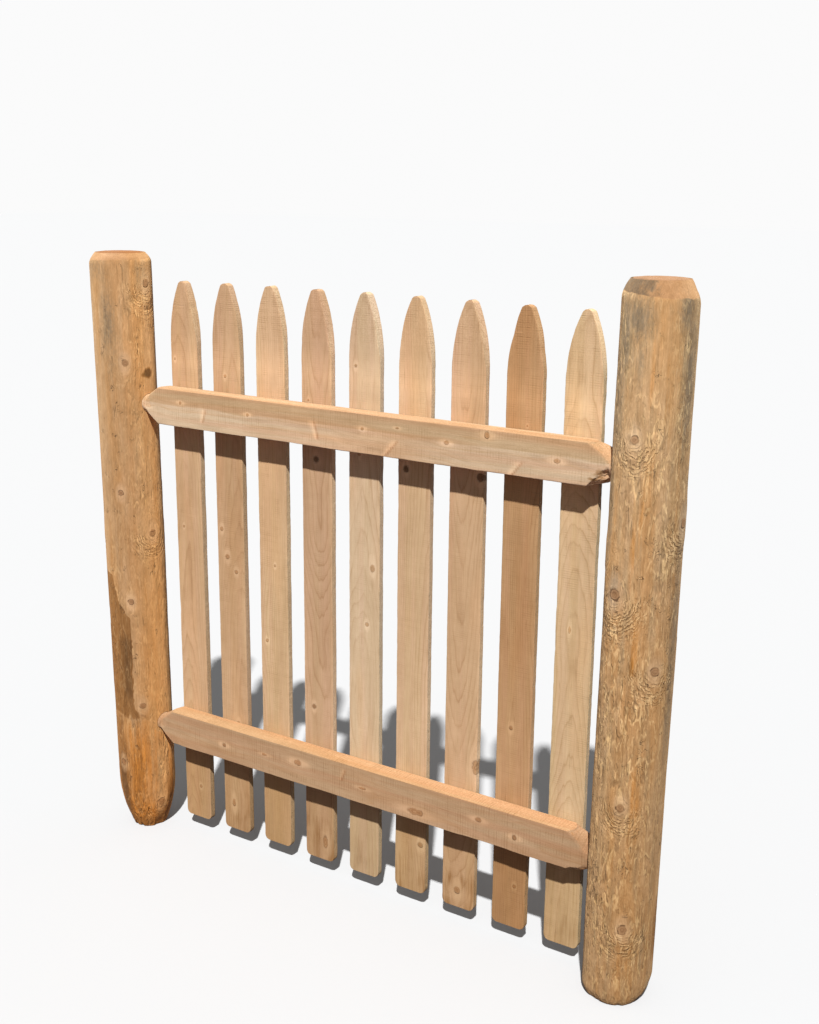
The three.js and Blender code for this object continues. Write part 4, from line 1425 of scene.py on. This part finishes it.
    height = fibre * 0.0006 + fine * 0.00025 + wrinkle * shown * 0.0034 + mottle * 0.0012
    height = height - waves * 0.0014 - step * 0.0016 - step_2 * 0.0009
    height = height - squiggle * 0.0012 - crack * 0.0014 + knot_relief
    return finished_wood(n, colour, tone, fibre.spread(0.3, 0.7, 0.76, 0.94), 1.0, height)


def dull_zinc(name):
    """Dull zinc with grime in patches and a start of rust."""
    n = Nodes(bpy.data.materials.new(name))
    place = n.value("ShaderNodeTexCoord", "Object")
    spangle = place.noise(900, 900, 3, 0.6)
    grime = place.noise(260, 260, 3, 0.65)
    colour = n.mix(spangle.spread(0.3, 0.7), ZINC, DARK_ZINC)
    inputs = {
        "Base Color": n.mix(grime.spread(0.52, 0.66, 0.0, 0.85), colour, RUST),
        "Metallic": grime.spread(0.50, 0.64, 0.95, 0.15),
        "Roughness": spangle.spread(0.3, 0.7, 0.36, 0.6),
        "Normal": n.bump(spangle, 0.5, 0.0002),
    }
    return n.finished(inputs)


PICKET_WOOD = sawn_wood("picket_cedar", PICKET_TAN, PICKET_LATE, 3.8, 0.80, 4.2)
RAIL_WOOD = sawn_wood("rail_cedar", RAIL_TAN, RAIL_LATE, 5.0, 0.50, 5.8)
POST_WOOD = peeled_wood("post_peeled_log")
NAIL_STEEL = dull_zinc("nail_steel_dull")

# ---------------------------------------------------------------- the fence

for post_name in POSTS:
    post(post_name)
for rail_name in RAILS:
    rail(rail_name)
for picket_number in PICKETS:
    picket(picket_number)
for node_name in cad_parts:
    if "_nail_" in node_name:
        nail(node_name, NAIL_RADIUS, NAIL_HEAD_RADIUS, NAIL_HEAD_THICKNESS)
    if node_name.endswith("_pin"):
        nail(node_name, PIN_RADIUS, PIN_HEAD_RADIUS, PIN_HEAD_THICKNESS)

# ---------------------------------------------------------------- floor, light and camera

SUN_FROM = Vector((0.30, -0.54, 0.79))
SUN_STRENGTH = 4.3
SUN_ANGLE = math.radians(1.5)
SKY_STRENGTH = 0.21
SKY_SEEN = 0.963
FLOOR_PALE = (0.742, 0.745, 0.748)
FLOOR_DIM = (0.155, 0.118, 0.135)
FLOOR_REACH = 40.0

CAMERA_PLACE = (1.4202, -2.0065, 1.4635)
CAMERA_YAW = 0.572945
CAMERA_PITCH = 0.251431
CAMERA_ROLL = 0.0101113
CAMERA_LENS = 45.58


def seen_directly(n):
    """1 for what the camera sees straight, in a gloss or through glass, else 0."""
    rays = ("Is Camera Ray", "Is Glossy Ray", "Is Transmission Ray")
    direct, glossy, through = (n.value("ShaderNodeLightPath", ray) for ray in rays)
    return n.math("MAXIMUM", n.math("MAXIMUM", direct, glossy), through)


def floor():
    """A plain pale floor, which throws back less light than it shows, as turf would."""
    corners = [(-FLOOR_REACH, -FLOOR_REACH, 0), (FLOOR_REACH, -FLOOR_REACH, 0)]
    corners += [(FLOOR_REACH, FLOOR_REACH, 0), (-FLOOR_REACH, FLOOR_REACH, 0)]
    made = mesh_object("floor", np.array(corners) / MM, [[0, 1, 2, 3]])
    n = Nodes(bpy.data.materials.new("floor_pale"))
    colour = n.mix(seen_directly(n), FLOOR_DIM, FLOOR_PALE)
    inputs = {"Base Color": colour, "Roughness": 1.0, "Specular IOR Level": 0.0}
    made.data.materials.append(n.finished(inputs))


def sky():
    """An even pale sky that the camera sees as white."""
    world = bpy.data.worlds.new("sky")
    bpy.context.scene.world = world
    n = Nodes(world)
    strength = seen_directly(n) * (SKY_SEEN - SKY_STRENGTH) + SKY_STRENGTH
    n.feed(n.tree.nodes["Background"], {"Color": (1, 1, 1, 1), "Strength": strength})


def sun():
    """A hard sun, from in front on the right."""
    lamp = bpy.data.lights.new("sun", "SUN")
    lamp.energy = SUN_STRENGTH
    lamp.angle = SUN_ANGLE
    made = bpy.data.objects.new("sun", lamp)
    made.rotation_mode = "QUATERNION"
    made.rotation_quaternion = SUN_FROM.to_track_quat("Z", "Y")
    bpy.context.scene.collection.objects.link(made)


def camera():
    """The photograph's view: from the right, a little above the tops of the posts."""
    forward = Vector(
        (
            -math.sin(CAMERA_YAW) * math.cos(CAMERA_PITCH),
            math.cos(CAMERA_YAW) * math.cos(CAMERA_PITCH),
            -math.sin(CAMERA_PITCH),
        )
    )
    right = Vector((math.cos(CAMERA_YAW), math.sin(CAMERA_YAW), 0))
    above = right.cross(forward)
    rolled_right = math.cos(CAMERA_ROLL) * right + math.sin(CAMERA_ROLL) * above
    rolled_above = math.cos(CAMERA_ROLL) * above - math.sin(CAMERA_ROLL) * right
    turn = Matrix((rolled_right, rolled_above, -forward)).transposed().to_4x4()
    lens = bpy.data.cameras.new("camera")
    lens.lens = CAMERA_LENS
    made = bpy.data.objects.new("camera", lens)
    made.matrix_world = Matrix.Translation(CAMERA_PLACE) @ turn
    bpy.context.scene.collection.objects.link(made)
    bpy.context.scene.camera = made


floor()
sky()
sun()
camera()
bpy.context.scene.view_settings.view_transform = "Standard"
